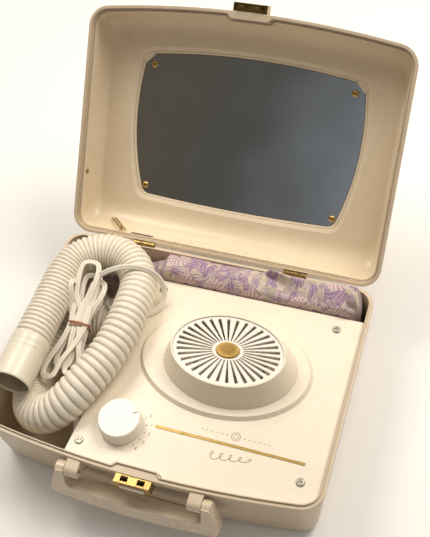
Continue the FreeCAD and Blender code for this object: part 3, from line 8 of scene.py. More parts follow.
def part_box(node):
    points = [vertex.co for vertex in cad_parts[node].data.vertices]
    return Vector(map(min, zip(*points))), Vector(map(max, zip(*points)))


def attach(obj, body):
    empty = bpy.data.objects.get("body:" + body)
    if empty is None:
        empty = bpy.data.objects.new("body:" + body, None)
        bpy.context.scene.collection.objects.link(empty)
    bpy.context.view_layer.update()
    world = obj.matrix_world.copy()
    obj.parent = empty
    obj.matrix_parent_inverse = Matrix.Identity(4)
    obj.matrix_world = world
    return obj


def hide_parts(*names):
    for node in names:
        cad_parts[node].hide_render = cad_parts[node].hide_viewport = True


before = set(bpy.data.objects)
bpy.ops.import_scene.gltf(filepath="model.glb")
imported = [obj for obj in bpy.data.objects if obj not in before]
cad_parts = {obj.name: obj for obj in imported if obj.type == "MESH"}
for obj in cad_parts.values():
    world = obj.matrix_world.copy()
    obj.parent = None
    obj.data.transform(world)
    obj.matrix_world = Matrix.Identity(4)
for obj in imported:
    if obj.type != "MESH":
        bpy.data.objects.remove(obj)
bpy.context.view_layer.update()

# Portable bonnet hair dryer in a hinged case.  Metres, the same frame as the CAD
# model: +Z up, the front (handle and latch) towards -Y, the hinge along +X.

scene = bpy.context.scene
MM = 0.001


# ------------------------------------------------------------------- camera
def make_camera():
    eye = Vector((0.23428, -0.38846, 0.82719))
    target = Vector((0.00096, 0.10711, 0.080))
    roll = 0.16
    ahead = (target - eye).normalized()
    level = ahead.cross(Vector((0, 0, 1))).normalized()
    above = level.cross(ahead)
    right = level * math.cos(roll) - above * math.sin(roll)
    up = above * math.cos(roll) + level * math.sin(roll)
    matrix = Matrix((right, up, -ahead)).transposed().to_4x4()
    matrix.translation = eye
    data = bpy.data.cameras.new("camera")
    data.lens = 59.04
    data.sensor_width = 36.0
    data.clip_start = 0.02
    camera = bpy.data.objects.new("camera", data)
    scene.collection.objects.link(camera)
    camera.matrix_world = matrix
    scene.camera = camera


make_camera()


# ------------------------------------------------------------ shader helpers
class Shade:
    """A material under construction, with short calls for the nodes used here."""

    def __init__(self, name):
        self.mat = bpy.data.materials.new(name)
        self.mat.use_nodes = True
        self.tree = self.mat.node_tree
        self.tree.nodes.clear()
        self.out = self.tree.nodes.new("ShaderNodeOutputMaterial")
        self.bsdf = self.tree.nodes.new("ShaderNodeBsdfPrincipled")
        self.tree.links.new(self.bsdf.outputs[0], self.out.inputs["Surface"])
        coord = self.tree.nodes.new("ShaderNodeTexCoord")
        self.place = coord.outputs["Object"]

    def put(self, socket, value):
        if isinstance(value, bpy.types.NodeSocket):
            self.tree.links.new(value, socket)
        elif isinstance(value, (tuple, list)) and len(value) == 3 and socket.type == "RGBA":
            socket.default_value = (*value, 1.0)
        else:
            socket.default_value = value

    def math(self, kind, a, b=0.0, c=0.0, clamp=False):
        node = self.tree.nodes.new("ShaderNodeMath")
        node.operation = kind
        node.use_clamp = clamp
        for socket, value in zip(node.inputs, (a, b, c)):
            self.put(socket, value)
        return node.outputs[0]

    def vector(self, kind, a, b=(0, 0, 0)):
        node = self.tree.nodes.new("ShaderNodeVectorMath")
        node.operation = kind
        self.put(node.inputs[0], a)
        if kind == "SCALE":
            self.put(node.inputs["Scale"], b)
        else:
            self.put(node.inputs[1], b)
        return node.outputs["Value"] if kind in ("LENGTH", "DOT_PRODUCT") else node.outputs[0]

    def parts(self, value):
        node = self.tree.nodes.new("ShaderNodeSeparateXYZ")
        self.put(node.inputs[0], value)
        return node.outputs

    def mix(self, share, a, b):
        node = self.tree.nodes.new("ShaderNodeMix")
        node.data_type = "RGBA"
        node.clamp_factor = True
        self.put(node.inputs[0], share)
        self.put(node.inputs[6], a)
        self.put(node.inputs[7], b)
        return node.outputs[2]

    def noise(self, scale, detail=3.0, rough=0.55, place=None, warp=0.0):
        node = self.tree.nodes.new("ShaderNodeTexNoise")
        self.put(node.inputs["Vector"], place or self.place)
        node.inputs["Scale"].default_value = scale
        node.inputs["Detail"].default_value = detail
        node.inputs["Roughness"].default_value = rough
        node.inputs["Distortion"].default_value = warp
        return node.outputs["Fac"]

    def cells(self, scale, feature="F1", place=None, flat=False, random=1.0):
        node = self.tree.nodes.new("ShaderNodeTexVoronoi")
        node.voronoi_dimensions = "2D" if flat else "3D"
        node.feature = feature
        self.put(node.inputs["Vector"], place or self.place)
        node.inputs["Scale"].default_value = scale
        node.inputs["Randomness"].default_value = random
        return node

    def span(self, value, low, high, to_low=0.0, to_high=1.0):
        node = self.tree.nodes.new("ShaderNodeMapRange")
        node.clamp = True
        for socket, number in zip(node.inputs, (value, low, high, to_low, to_high)):
            self.put(socket, number)
        return node.outputs[0]

    def bump(self, height, strength, distance, under=None):
        node = self.tree.nodes.new("ShaderNodeBump")
        node.inputs["Strength"].default_value = strength
        node.inputs["Distance"].default_value = distance
        self.put(node.inputs["Height"], height)
        if under is not None:
            self.put(node.inputs["Normal"], under)
        return node.outputs[0]

    def soft_edge(self, radius):
        node = self.tree.nodes.new("ShaderNodeBevel")
        node.samples = 4
        node.inputs["Radius"].default_value = radius
        return node.outputs[0]

    def attribute(self, name):
        node = self.tree.nodes.new("ShaderNodeAttribute")
        node.attribute_name = name
        return node

    def finish(self, colour, roughness, normal=None, **sockets):
        self.put(self.bsdf.inputs["Base Color"], colour)
        self.put(self.bsdf.inputs["Roughness"], roughness)
        if normal is not None:
            self.put(self.bsdf.inputs["Normal"], normal)
        for name, value in sockets.items():
            self.bsdf.inputs[name.replace("_", " ")].default_value = value
        return self.mat


def tone(colour, k):
    return tuple(min(1.0, c * k) for c in colour)


def plastic(
    name, colour, rough=0.32, grain=0.10, edge=0.0006, age=0.12, stain=(0.42, 0.31, 0.18), shine=0.5,
):
    """Moulded plastic: fine grain, slow waves in the gloss, faint yellowing and specks of dirt."""
    s = Shade(name)
    slow = s.noise(9.0, 3.0)
    patchy = s.noise(46.0, 5.0, 0.62)
    base = s.mix(s.span(slow, 0.3, 0.7), tone(colour, 1.03), tone(colour, 0.95))
    base = s.mix(s.math("MULTIPLY", s.span(patchy, 0.52, 0.80), age), base, stain)
    specks = s.cells(620.0)
    dirt = s.span(specks.outputs["Distance"], 0.10, 0.03, 0.0, 0.35)
    dirt = s.math("MULTIPLY", dirt, s.span(s.noise(75.0, 2.0), 0.56, 0.66))
    base = s.mix(dirt, base, tone(stain, 0.5))
    gloss = s.span(s.noise(130.0, 4.0, 0.6), 0.3, 0.7, rough - 0.05, rough + 0.07)
    under = s.soft_edge(edge) if edge else None
    waves = s.bump(s.noise(22.0, 1.0), 0.10, 0.0003, under)
    normal = s.bump(s.noise(1500.0, 2.0, 0.7), grain, 0.00012, waves)
    return s.finish(base, gloss, normal, Specular_IOR_Level=shine)


def metal(name, colour, rough=0.32, dull=0.35, patina=(0.12, 0.085, 0.045), brushed=None, edge=0.00025):
    """Plated or bare metal with dulled patches, fine scratches and worn soft edges."""
    s = Shade(name)
    spots = s.noise(150.0, 5.0, 0.65)
    share = s.math("MULTIPLY", s.span(spots, 0.48, 0.72), dull)
    base = s.mix(share, s.mix(s.noise(40.0), tone(colour, 1.08), tone(colour, 0.88)), patina)
    stretch = s.vector("MULTIPLY", s.place, brushed or (400.0, 60.0, 400.0))
    lines = s.noise(4.0, 4.0, 0.7, stretch)
    gloss = s.math(
        "ADD", s.span(lines, 0.3, 0.7, rough - 0.06, rough + 0.08), s.math("MULTIPLY", share, 0.3),
    )
    normal = s.bump(lines, 0.12, 0.0001, s.soft_edge(edge))
    return s.finish(base, gloss, normal, Metallic=1.0)


def vinyl(name, colour, groove_shade_and_dust, rough=0.42, depth=0.85):
    """Soft vinyl with painted shade and dust in its grooves."""
    s = Shade(name)
    slow = s.noise(14.0, 3.0)
    base = s.mix(s.span(slow, 0.3, 0.7), tone(colour, 1.03), tone(colour, 0.94))
    groove = s.attribute("groove").outputs["Fac"]
    uneven = s.span(s.noise(60.0, 3.0), 0.3, 0.7, 0.6, 1.0)
    # held is how far each groove is darkened: painted shade, with some dust
    held = s.math("MULTIPLY", s.math("POWER", groove, 1.5), s.math("MULTIPLY", uneven, depth))
    base = s.mix(held, base, groove_shade_and_dust)
    gloss = s.span(s.noise(170.0, 4.0), 0.3, 0.7, rough - 0.07, rough + 0.09)
    waves = s.bump(s.noise(75.0, 3.0), 0.35, 0.0007)
    normal = s.bump(s.noise(1300.0, 2.0, 0.7), 0.12, 0.00012, waves)
    return s.finish(base, gloss, normal, Specular_IOR_Level=0.45)


PANEL = (0.86, 0.775, 0.635)

MATERIALS = {
    "shell": plastic("shell_ivory", (0.64, 0.52, 0.375), 0.34, 0.16, age=0.07),
    "handle": plastic("handle_ivory", (0.68, 0.56, 0.42), 0.25, 0.05, age=0.06, shine=0.6),
    "liner": plastic("liner_tan", (0.80, 0.67, 0.49), 0.30, 0.08, age=0.05),
    "panel": plastic("panel_ivory", PANEL, 0.28, 0.05, age=0.03),
    "divider": plastic("divider_ivory", (0.62, 0.52, 0.38), 0.45, 0.12, age=0.25),
    "grille": plastic("grille_ivory", (0.87, 0.83, 0.75), 0.26, 0.04, edge=0.0004, age=0.03, shine=0.6),
    "knob": plastic("knob_ivory", (0.88, 0.83, 0.74), 0.22, 0.03, age=0.05, shine=0.6),
    "button": plastic("button_cream", (0.70, 0.60, 0.44), 0.35, 0.08),
    "lead_end": plastic("lead_end_ivory", (0.80, 0.72, 0.58), 0.42, 0.10),
    "inner": plastic("inner_plastic", (0.55, 0.50, 0.42), 0.5, 0.15),
    "switch": plastic("switch_dark", (0.035, 0.03, 0.028), 0.4, 0.12, age=0.3, stain=(0.1, 0.09, 0.08)),
    "mica": plastic("mica_board", (0.48, 0.40, 0.28), 0.5, 0.25, age=0.5, stain=(0.25, 0.2, 0.12)),
    "card": plastic("card_brown", (0.34, 0.25, 0.16), 0.85, 0.5, age=0.4),
    "cuff": vinyl("cuff_vinyl", (0.82, 0.75, 0.61), (0.36, 0.26, 0.14), 0.30, 0.8),
    "hose": vinyl("hose_vinyl", (0.85, 0.78, 0.655), (0.30, 0.205, 0.11), 0.34, 0.90),
    "lead": vinyl("lead_vinyl", (0.86, 0.80, 0.69), (0.36, 0.28, 0.18), 0.36, 0.85),
    "brass": metal("hardware_brass", (0.50, 0.34, 0.12), 0.28, 0.6),
    "gold": metal("trim_gold", (0.40, 0.27, 0.09), 0.34, 0.35, brushed=(60.0, 500.0, 500.0)),
    "steel": metal("screw_steel", (0.50, 0.46, 0.40), 0.36, 0.5, (0.10, 0.07, 0.045)),
    "inner_steel": metal("inner_steel", (0.45, 0.45, 0.45), 0.4, 0.3, (0.15, 0.12, 0.1)),
    "wire": metal("heater_wire", (0.30, 0.28, 0.27), 0.5, 0.4),
}


def mirror_material():
    """Silvered glass: a clear bright face with faint fogging and a few spots."""
    s = Shade("mirror_glass")
    fog = s.span(s.noise(11.0, 5.0, 0.6), 0.35, 0.75)
    base = s.mix(fog, (0.86, 0.88, 0.89), (0.74, 0.75, 0.75))
    spots = s.cells(260.0)
    marks = s.math(
        "MULTIPLY", s.span(spots.outputs["Distance"], 0.09, 0.04), s.span(s.noise(20.0), 0.62, 0.68),
    )
    base = s.mix(marks, base, (0.30, 0.25, 0.18))
    gloss = s.math("ADD", s.math("MULTIPLY", fog, 0.035), s.math("MULTIPLY", marks, 0.3))
    return s.finish(
        base, s.math("ADD", gloss, 0.02), s.bump(s.noise(7.0, 2.0), 0.02, 0.001), Metallic=1.0,
    )


def medallion_material():
    """Stamped gold metal with a darker, finely pierced centre; the piercings are painted near black as
    the shade inside them.
    """
    s = Shade("medallion_gold")
    lo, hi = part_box("medallion")
    centre = (lo + hi) / 2
    flat = s.vector("SUBTRACT", s.place, tuple(centre))
    x, y = s.parts(flat)[:2]
    round_x = s.math("MULTIPLY", x, 1.0 / 0.012)
    round_y = s.math("MULTIPLY", y, 1.0 / 0.009)
    far = s.math("SQRT", s.math("ADD", s.math("POWER", round_x, 2.0), s.math("POWER", round_y, 2.0)))
    lattice = s.cells(900.0, random=0.25)
    holes = s.math("MULTIPLY", s.span(lattice.outputs["Distance"], 0.36, 0.26), s.span(far, 0.82, 0.74))
    base = s.mix(s.span(far, 0.5, 0.95), (0.34, 0.20, 0.06), (0.50, 0.33, 0.11))
    # near black in the piercings: painted shade, as the holes are only a bump
    base = s.mix(holes, base, (0.06, 0.03, 0.01))
    normal = s.bump(s.math("MULTIPLY", holes, -1.0), 0.8, 0.0004)
    return s.finish(base, s.span(s.noise(200.0), 0.3, 0.7, 0.25, 0.4), normal, Metallic=1.0)


MATERIALS["mirror"] = mirror_material()
MATERIALS["medallion"] = medallion_material()

NODE_FINISH = {
    "shell": ["base_shell", "lid_shell"],
    "handle": ["handle", "handle_brackets"],
    "liner": ["lid_liner", "mirror_clips"],
    "panel": ["faceplate", "intake_dome"],
    "divider": ["compartment_divider"],
    "grille": ["intake_grille"],
    "knob": ["control_knob"],
    "button": ["latch_button"],
    "lead_end": ["strain_relief", "mains_plug"],
    "inner": ["blower_scroll", "scroll_cover", "fan_impeller", "outlet_spigot"],
    "switch": ["rotary_switch"],
    "mica": ["heater_frame"],
    "card": ["mirror_backing"],
    "cuff": ["hose_collar"],
    "brass": [
        "latch_housing", "lid_latch", "lid_hooks", "lid_latch_rivets", "hinge_leaves_base",
        "hinge_leaves_lid",
        "hinge_pins", "handle_pins", "lid_stop_arm", "lid_eyelet", "mirror_screws",
    ],
    "gold": ["trim_stripe"],
    "medallion": ["medallion"],
    "steel": ["faceplate_screws"],
    "inner_steel": [
        "motor_stator", "motor_bearings", "motor_posts", "motor_shaft", "motor_rotor", "heater_duct",
        "thermostat",
        "switch_shaft", "latch_spring",
    ],
    "wire": ["heater_coil"],
    "mirror": ["mirror"],
}

for finish, nodes in NODE_FINISH.items():
    for node in nodes:
        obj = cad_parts[node]
        if not obj.material_slots:
            obj.data.materials.append(None)
        for place in obj.material_slots:
            place.material = MATERIALS[finish]


# ------------------------------------------------------------- mesh helpers
def add_object(name, data, body):
    obj = bpy.data.objects.new(name, data)
    scene.collection.objects.link(obj)
    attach(obj, body)
    return obj


def make_mesh(name, verts, faces, finish, body, smooth=True):
    mesh = bpy.data.meshes.new(name)
    mesh.from_pydata([tuple(v) for v in verts], [], faces)
    mesh.update()
    mesh.polygons.foreach_set("use_smooth", [smooth] * len(mesh.polygons))
    mesh.materials.append(MATERIALS[finish])
    return add_object(name, mesh, body)


def store(obj, name, values):
    attribute = obj.data.attributes.new(name, "FLOAT", "POINT")
    attribute.data.foreach_set("value", np.asarray(values, np.float32).ravel())


def grid_faces(rows, columns, wrap_rows=False):
    """Quads over a grid whose columns close on themselves."""
    faces = []
    for i in range(rows if wrap_rows else rows - 1):
        a = i * columns
        b = ((i + 1) % rows) * columns
        for j in range(columns):
            k = (j + 1) % columns
            faces.append((a + j, a + k, b + k, b + j))
    return faces


def even(points, step):
    """The same line with points at an even spacing close to step."""
    gaps = np.linalg.norm(np.diff(points, axis=0), axis=1)
    along = np.concatenate([[0.0], np.cumsum(gaps)])
    count = max(2, int(round(along[-1] / step)) + 1)
    at = np.linspace(0.0, along[-1], count)
    return np.stack([np.interp(at, along, points[:, k]) for k in range(3)], axis=1), at


def spline_line(name, controls, step):
    """Points read from one open NURBS spline through the route's control points."""
    curve = bpy.data.curves.new(name, "CURVE")
    curve.dimensions = "3D"
    curve.resolution_u = 20
    spline = curve.splines.new("NURBS")
    spline.points.add(len(controls) - 1)
    for point, at in zip(spline.points, controls):
        point.co = (*at, 1.0)
    spline.order_u = 3
    spline.use_endpoint_u = True
    holder = bpy.data.objects.new(name, curve)
    scene.collection.objects.link(holder)
    bpy.context.view_layer.update()
    mesh = bpy.data.meshes.new_from_object(holder)
    raw = np.array([v.co for v in mesh.vertices], float)
    bpy.data.objects.remove(holder)
    bpy.data.meshes.remove(mesh)
    bpy.data.curves.remove(curve)
    return even(raw, step)


def unit(v):
    return v / np.maximum(np.linalg.norm(v, axis=-1, keepdims=True), 1e-12)


def rolling_frames(line, first):
    """Tangents, and normals that turn no more than the line does."""
    tangents = unit(np.gradient(line, axis=0))
    normals = np.zeros_like(line)
    n = np.array(first, float)
    for i, t in enumerate(tangents):
        n = n - t * n.dot(t)
        n = n / np.linalg.norm(n)
        normals[i] = n
    return tangents, normals, np.cross(tangents, normals)


def sweep(name, line, normals, sides, rings, finish, body):
    """A tube whose section at each point of the line is rings[i], in normal and side directions."""
    verts = line[:, None, :] + rings[:, :, 0:1] * normals[:, None, :]
    verts = verts + rings[:, :, 1:2] * sides[:, None, :]
    rows, columns = rings.shape[:2]
    return make_mesh(name, verts.reshape(-1, 3), grid_faces(rows, columns), finish, body)


# --------------------------------------------------------------------- hose
HOSE_D = 0.0384
HOSE_ROUTE = [
    (-82, 30, 53), (-101, 30, 53), (-118.5, 23, 52), (-131, 8.5, 51.5), (-138, -9.5, 51.5),
    (-141, -30, 52), (-141.5, -52, 53.5), (-138, -71.5, 57), (-128.5, -87.5, 63), (-113, -95.5, 71),
    (-97, -91, 80.5), (-84.5, -78, 90), (-75, -60.5, 96.5), (-67, -41, 98.8), (-61.5, -20, 100.3),
    (-59, 3, 101.4), (-59.5, 26, 101), (-61, 46, 98), (-66, 63.5, 95.6), (-76.5, 79, 95.4),
    (-92, 88.5, 96), (-110.5, 90, 97), (-127, 83, 98), (-139, 69.5, 98.4), (-143.6, 51, 98.6),
    (-144, 29, 98.3), (-143.6, 7, 98.3), (-144, -15, 98.6), (-143.8, -35, 99),
]
CUFF_LENGTH = 0.048


def metres(points):
    return [tuple(c * MM for c in p) for p in points]


def make_hose():
    """Corrugated vinyl over a wire helix: round ridges, stretched on some runs and bunched on others."""
    line, along = spline_line("hose_line", metres(HOSE_ROUTE), 0.00045)
    share = along / along[-1]
    pitch = np.interp(
        share,
        [0.0, 0.20, 0.28, 0.34, 0.40, 0.48, 0.60, 0.66, 0.72, 0.80, 0.93, 1.0],
        [0.0052, 0.0050, 0.0056, 0.0064, 0.0072, 0.0075, 0.0072, 0.0060, 0.0050, 0.0046, 0.0048, 0.0052],
    )
    pitch = pitch * (1.0 + 0.05 * np.sin(along * 37.0) + 0.04 * np.sin(along * 91.0 + 1.0))
    phase = np.concatenate([[0.0], np.cumsum(np.diff(along) / pitch[1:])])
    columns = 56
    angle = np.arange(columns) * 2 * math.pi / columns
    turn = phase[:, None] + angle[None, :] / (2 * math.pi)
    u = 2.0 * (turn - np.floor(turn)) - 1.0
    ridge = np.sqrt(np.maximum(0.0, 1.0 - (0.985 * u) ** 2))
    depth = np.interp(pitch, [0.0044, 0.0078], [0.0031, 0.0027])[:, None]
    radius = HOSE_D / 2 - depth * (1.0 - ridge)
    rings = np.stack([radius * np.cos(angle), radius * np.sin(angle)], axis=2)
    _, normals, sides = rolling_frames(line, (0, 0, 1))
    obj = sweep("hose_ribbed", line, normals, sides, rings, "hose", "base")
    # the groove attribute darkens the troughs between the ridges: painted shade, with some dust
    store(obj, "groove", 1.0 - ridge)
    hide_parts("hose")
    return obj, line


def make_cuff(hose_line):
    """The smooth cuff on the hose's free end, with a rolled lip and faint rings."""
    start = Vector(metres([HOSE_ROUTE[-1]])[0])
    before = Vector(metres([HOSE_ROUTE[-2]])[0])
    heading = (start - before).normalized()
    outer = [
        (-0.0025, 0.01935), (-0.0020, 0.01975), (0.0, 0.01985), (0.0060, 0.01985), (0.0068, 0.01955),
        (0.0076, 0.01985), (0.0125, 0.0199), (0.0133, 0.0196), (0.0141, 0.0199), (0.0200, 0.0199),
        (0.0300, 0.01995), (0.0400, 0.0200), (0.0440, 0.0200), (0.0463, 0.02005), (0.0474, 0.0199),
        (0.0480, 0.0194), (0.0479, 0.0188), (0.0470, 0.01845), (0.0440, 0.0184), (0.0300, 0.0184),
        (0.0285, 0.0180), (0.0270, 0.0176), (0.0120, 0.0175), (-0.0010, 0.0172),
    ]
    profile = []
    for (s0, r0), (s1, r1) in zip(outer, outer[1:]):
        pieces = max(1, int(abs(s1 - s0) / 0.0015))
        for k in range(pieces):
            f = k / pieces
            profile.append((s0 + (s1 - s0) * f, r0 + (r1 - r0) * f))
    profile.append(outer[-1])
    side = heading.cross(Vector((0, 0, 1))).normalized()
    up = side.cross(heading)
    columns = 72
    verts = []
    for s, r in profile:
        for j in range(columns):
            a = j * 2 * math.pi / columns
            sag = 1.0 - 0.006 * math.cos(2 * a) * max(0.0, s / CUFF_LENGTH)
            dent = 0.00012 * noise.noise(Vector((math.cos(a) * 2, math.sin(a) * 2, s * 90)))
            p = start + heading * s + (side * math.cos(a) + up * math.sin(a)) * (r * sag + dent)
            verts.append(tuple(p))
    obj = make_mesh("hose_cuff_rolled", verts, grid_faces(len(profile), columns), "cuff", "base")
    # painted shade: darker on the cuff's inner wall and along the two faint rings, through the groove
    # attribute
    shade = [min(1.0, max(0.0, (0.0192 - r) / 0.0008)) if s < 0.0465 else 0.0 for s, r in profile]
    for i, (s, r) in enumerate(profile):
        if abs(s - 0.0068) < 0.0006 or abs(s - 0.0133) < 0.0006:
            shade[i] = max(shade[i], 0.45)
    store(obj, "groove", np.repeat(np.array(shade), columns))
    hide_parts("hose_cuff")
    return obj


hose, hose_line = make_hose()
cuff = make_cuff(hose_line)


# --------------------------------------------------------------------- lead
LEAD_WIDE = 0.0056
LEAD_THICK = 0.0028
LEAD_ROUTE = [
    (-80, 60, 56), (-89, 60, 56), (-97.5, 53.5, 61), (-99, 44, 70.5), (-90.5, 35.5, 76.6),
    (-77.5, 31, 78.3),
    (-63, 30.5, 78.4), (-50, 35, 78.5), (-40, 43.5, 79), (-36.5, 54.5, 84), (-37.5, 62.5, 94),
    (-43.5, 66.5, 104.5),
    (-53, 66.5, 113.8), (-65, 64.5, 118.9), (-78, 61, 119), (-90.5, 56.5, 116.3), (-101, 52.5, 109.5),
    (-108, 50, 101.5),
]
HANK_A = np.array((-115.5, 52.0, 94.0))
HANK_B = np.array((-105.0, -48.0, 77.0))
HANK_DOWN = (HANK_B - HANK_A) / np.linalg.norm(HANK_B - HANK_A)
HANK_SIDE = unit(np.array((-HANK_DOWN[1], HANK_DOWN[0], 0.0)))
HANK_UP = np.cross(HANK_DOWN, -HANK_SIDE)
HANK_UP = HANK_UP if HANK_UP[2] > 0 else -HANK_UP
BAND_AT = 51.0
# where each strand passes the band: (side, up) in millimetres
DOWN_SLOTS = [(7.8, 4.9), (2.7, 4.9), (7.8, 1.6), (2.7, 1.6), (7.8, -1.7), (2.7, -1.7), (5.0, -5.0)]
UP_SLOTS = [(-7.8, 4.7), (-2.6, 4.9), (-7.9, 1.4), (-2.6, 1.6), (-7.6, -1.9), (-2.5, -1.7)]
# each fold: (distance from the hank's upper end, side, up, half the gap between its strands)
TOP_FOLDS = [
    (-15, 1, 15, 9.5), (3, 12, 7, 6.5), (9, -15, 13, 6.5), (-5, 3, 4, 8.5), (22, -13, 8, 5.0),
    (13, 8, -2, 6.5),
]
LOW_FOLDS = [
    (110, -17, 3, 6.5), (103, 3, -1, 7.0), (96, -8, -3, 7.5), (107, 9, -8, 6.0), (92, -2, -9, 8.0),
    (100, 5, -14, 6.0),
]


def in_hank(down, side, up):
    return HANK_A + HANK_DOWN * down + HANK_SIDE * side + HANK_UP * up


def fold_points(slot_in, fold, slot_out, towards):
    """From the band round one fold and back to the band; towards is -1 for the upper end."""
    at, side, up, gap = fold
    first, last = (-gap, gap) if slot_in[0] < slot_out[0] else (gap, -gap)
    points = []
    shoulder = at - towards * gap * 1.3
    for f in (0.0, 0.38, 0.74):
        ease = f * f * (3 - 2 * f)
        down = BAND_AT + towards * 5 + (shoulder - BAND_AT - towards * 5) * f
        points.append((
            down, slot_in[0] + (side + first - slot_in[0]) * ease, slot_in[1] + (up - slot_in[1]) * ease,
        ))
    points += [(shoulder, side + first * 1.05, up), (at - towards * 1.0, side + first * 0.82, up + 0.8)]
    points += [
        (at - towards * 0.5, side + last * 0.80, up - 0.6), (shoulder, side + last * 1.05, up - 1.2),
    ]
    for f in (0.74, 0.38, 0.0):
        ease = f * f * (3 - 2 * f)
        down = BAND_AT + towards * 5 + (shoulder - BAND_AT - towards * 5) * f
        points.append((
            down, slot_out[0] + (side + last - slot_out[0]) * ease,
            slot_out[1] + (up - 1.2 - slot_out[1]) * ease,
        ))
    return [in_hank(*p) for p in points]


def off_the_hose(points, reach):
    """Moves any point that would lie in the hose out onto its surface."""
    moved = []
    for p in points:
        q = np.array(p, float) * MM
        gaps = hose_line - q
        k = int(np.argmin(np.einsum("ij,ij->i", gaps, gaps)))
        away = q - hose_line[k]
        far = np.linalg.norm(away)
        if far < reach:
            q = hose_line[k] + away / far * reach
        moved.append(tuple(q))
    return moved


def lead_controls():
    points = [np.array(p, float) for p in LEAD_ROUTE[:-1]]
    slot = DOWN_SLOTS[0]
    points += [in_hank(-3, 9.5, 9.5), in_hank(9, 10.5, 7.5), in_hank(22, 9.5, 6.5), in_hank(36, 8.4, 5.4)]
    points += [in_hank(BAND_AT - 5, *slot)]
    for k, low in enumerate(LOW_FOLDS):
        points += fold_points(DOWN_SLOTS[k], low, UP_SLOTS[k], 1)
        points += fold_points(UP_SLOTS[k], TOP_FOLDS[k], DOWN_SLOTS[k + 1], -1)
    points += [in_hank(62, 5, -6), in_hank(74, 4.5, -9), in_hank(85, 4, -15)]
    points += [np.array(p, float) for p in (
        (-100, -43, 52), (-96, -61, 42), (-91, -80, 33), (-88.5, -97, 23), (-91.5, -106.5, 14.5),
        (-97, -104, 11.2),
        (-98, -93, 11), (-98, -80, 11),
    )]
    head = [tuple(p * MM) for p in points[:18]]
    return head + off_the_hose(points[18:], HOSE_D / 2 + LEAD_THICK / 2 + 0.0006)


def make_lead():
    """A flat two-core cord: over the hose, into the tied hank, and down to its plug."""
    line, along = spline_line("lead_line", lead_controls(), 0.0011)
    tangents = unit(np.gradient(line, axis=0))
    lean = np.array((0.20, -0.30, 0.90))
    side = np.zeros_like(line)
    last = np.cross(tangents[0], lean)
    for i, t in enumerate(tangents):
        want = np.cross(t, lean)
        if want.dot(last) < 0:
            want = -want
        want = want - t * want.dot(t)
        size = np.linalg.norm(want)
        blend = last * 0.93 + (want / size) * 0.07 if size > 0.2 else last
        blend = blend - t * blend.dot(t)
        last = blend / np.linalg.norm(blend)
        side[i] = last
    other = np.cross(tangents, side)
    twist = 0.30 * np.sin(along * 23.0) + 0.18 * np.sin(along * 61.0 + 2.0)
    wide = side * np.cos(twist)[:, None] + other * np.sin(twist)[:, None]
    thin = np.cross(tangents, wide)
    columns = 22
    angle = np.arange(columns) * 2 * math.pi / columns
    c, s = np.cos(angle), np.sin(angle)
    x = LEAD_WIDE / 2 * np.sign(c) * np.abs(c) ** 0.85
    dip = np.exp(-((x / 0.00062) ** 2))
    y = LEAD_THICK / 2 * np.sign(s) * np.abs(s) ** 0.8 * (1.0 - 0.42 * dip)
    rings = np.repeat(np.stack([x, y], axis=1)[None], len(line), axis=0)
    obj = sweep("mains_lead_flat", line, wide, thin, rings, "lead", "base")
    # the groove attribute darkens the dip between the two cores: painted shade, with some dust
    store(obj, "groove", np.tile(dip * 0.9, len(line)))
    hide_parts("mains_lead", "lead_hank")
    return obj, line, along[-1]


def band_material():
    s = Shade("band_rubber")
    base = s.mix(s.noise(300.0, 4.0), (0.52, 0.27, 0.18), (0.36, 0.17, 0.11))
    normal = s.bump(s.noise(900.0, 3.0, 0.7), 0.3, 0.0002)
    return s.finish(base, s.span(s.noise(200.0), 0.3, 0.7, 0.45, 0.65), normal)


MATERIALS["band"] = band_material()


def make_band():
    """A rubber band wound three times round the hank, its turns crossing."""
    verts, faces = [], []
    columns, steps = 10, 120
    turns = ((-1.6, 1.5, 0.3, 0.0), (0.6, 1.9, 2.4, 0.9), (2.3, 1.2, 4.0, 0.3))
    for shift, swing, phase, grow in turns:
        loop = []
        for k in range(steps):
            a = k * 2 * math.pi / steps
            c, s = math.cos(a), math.sin(a)
            side = (11.0 + grow) * math.copysign(abs(c) ** 0.75, c)
            up = (7.6 + grow) * math.copysign(abs(s) ** 0.75, s)
            loop.append(in_hank(BAND_AT + shift + swing * math.sin(a + phase), side + 0.1, up) * MM)
        loop = np.array(loop)
        ahead = unit(np.roll(loop, -1, axis=0) - np.roll(loop, 1, axis=0))
        outward = unit(loop - loop.mean(axis=0))
        across = unit(np.cross(ahead, outward))
        outward = np.cross(across, ahead)
        start = len(verts)
        for k in range(steps):
            for j in range(columns):
                b = j * 2 * math.pi / columns
                out = outward[k] * 0.00055 * math.cos(b)
                verts.append(loop[k] + out + across[k] * 0.00085 * math.sin(b))
        faces += [tuple(start + v for v in f) for f in grid_faces(steps, columns, wrap_rows=True)]
    obj = make_mesh("rubber_band_wound", verts, faces, "band", "base")
    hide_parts("rubber_band")
    return obj


lead, lead_line, lead_length = make_lead()
band = make_band()
print("lead length", round(float(lead_length), 3))


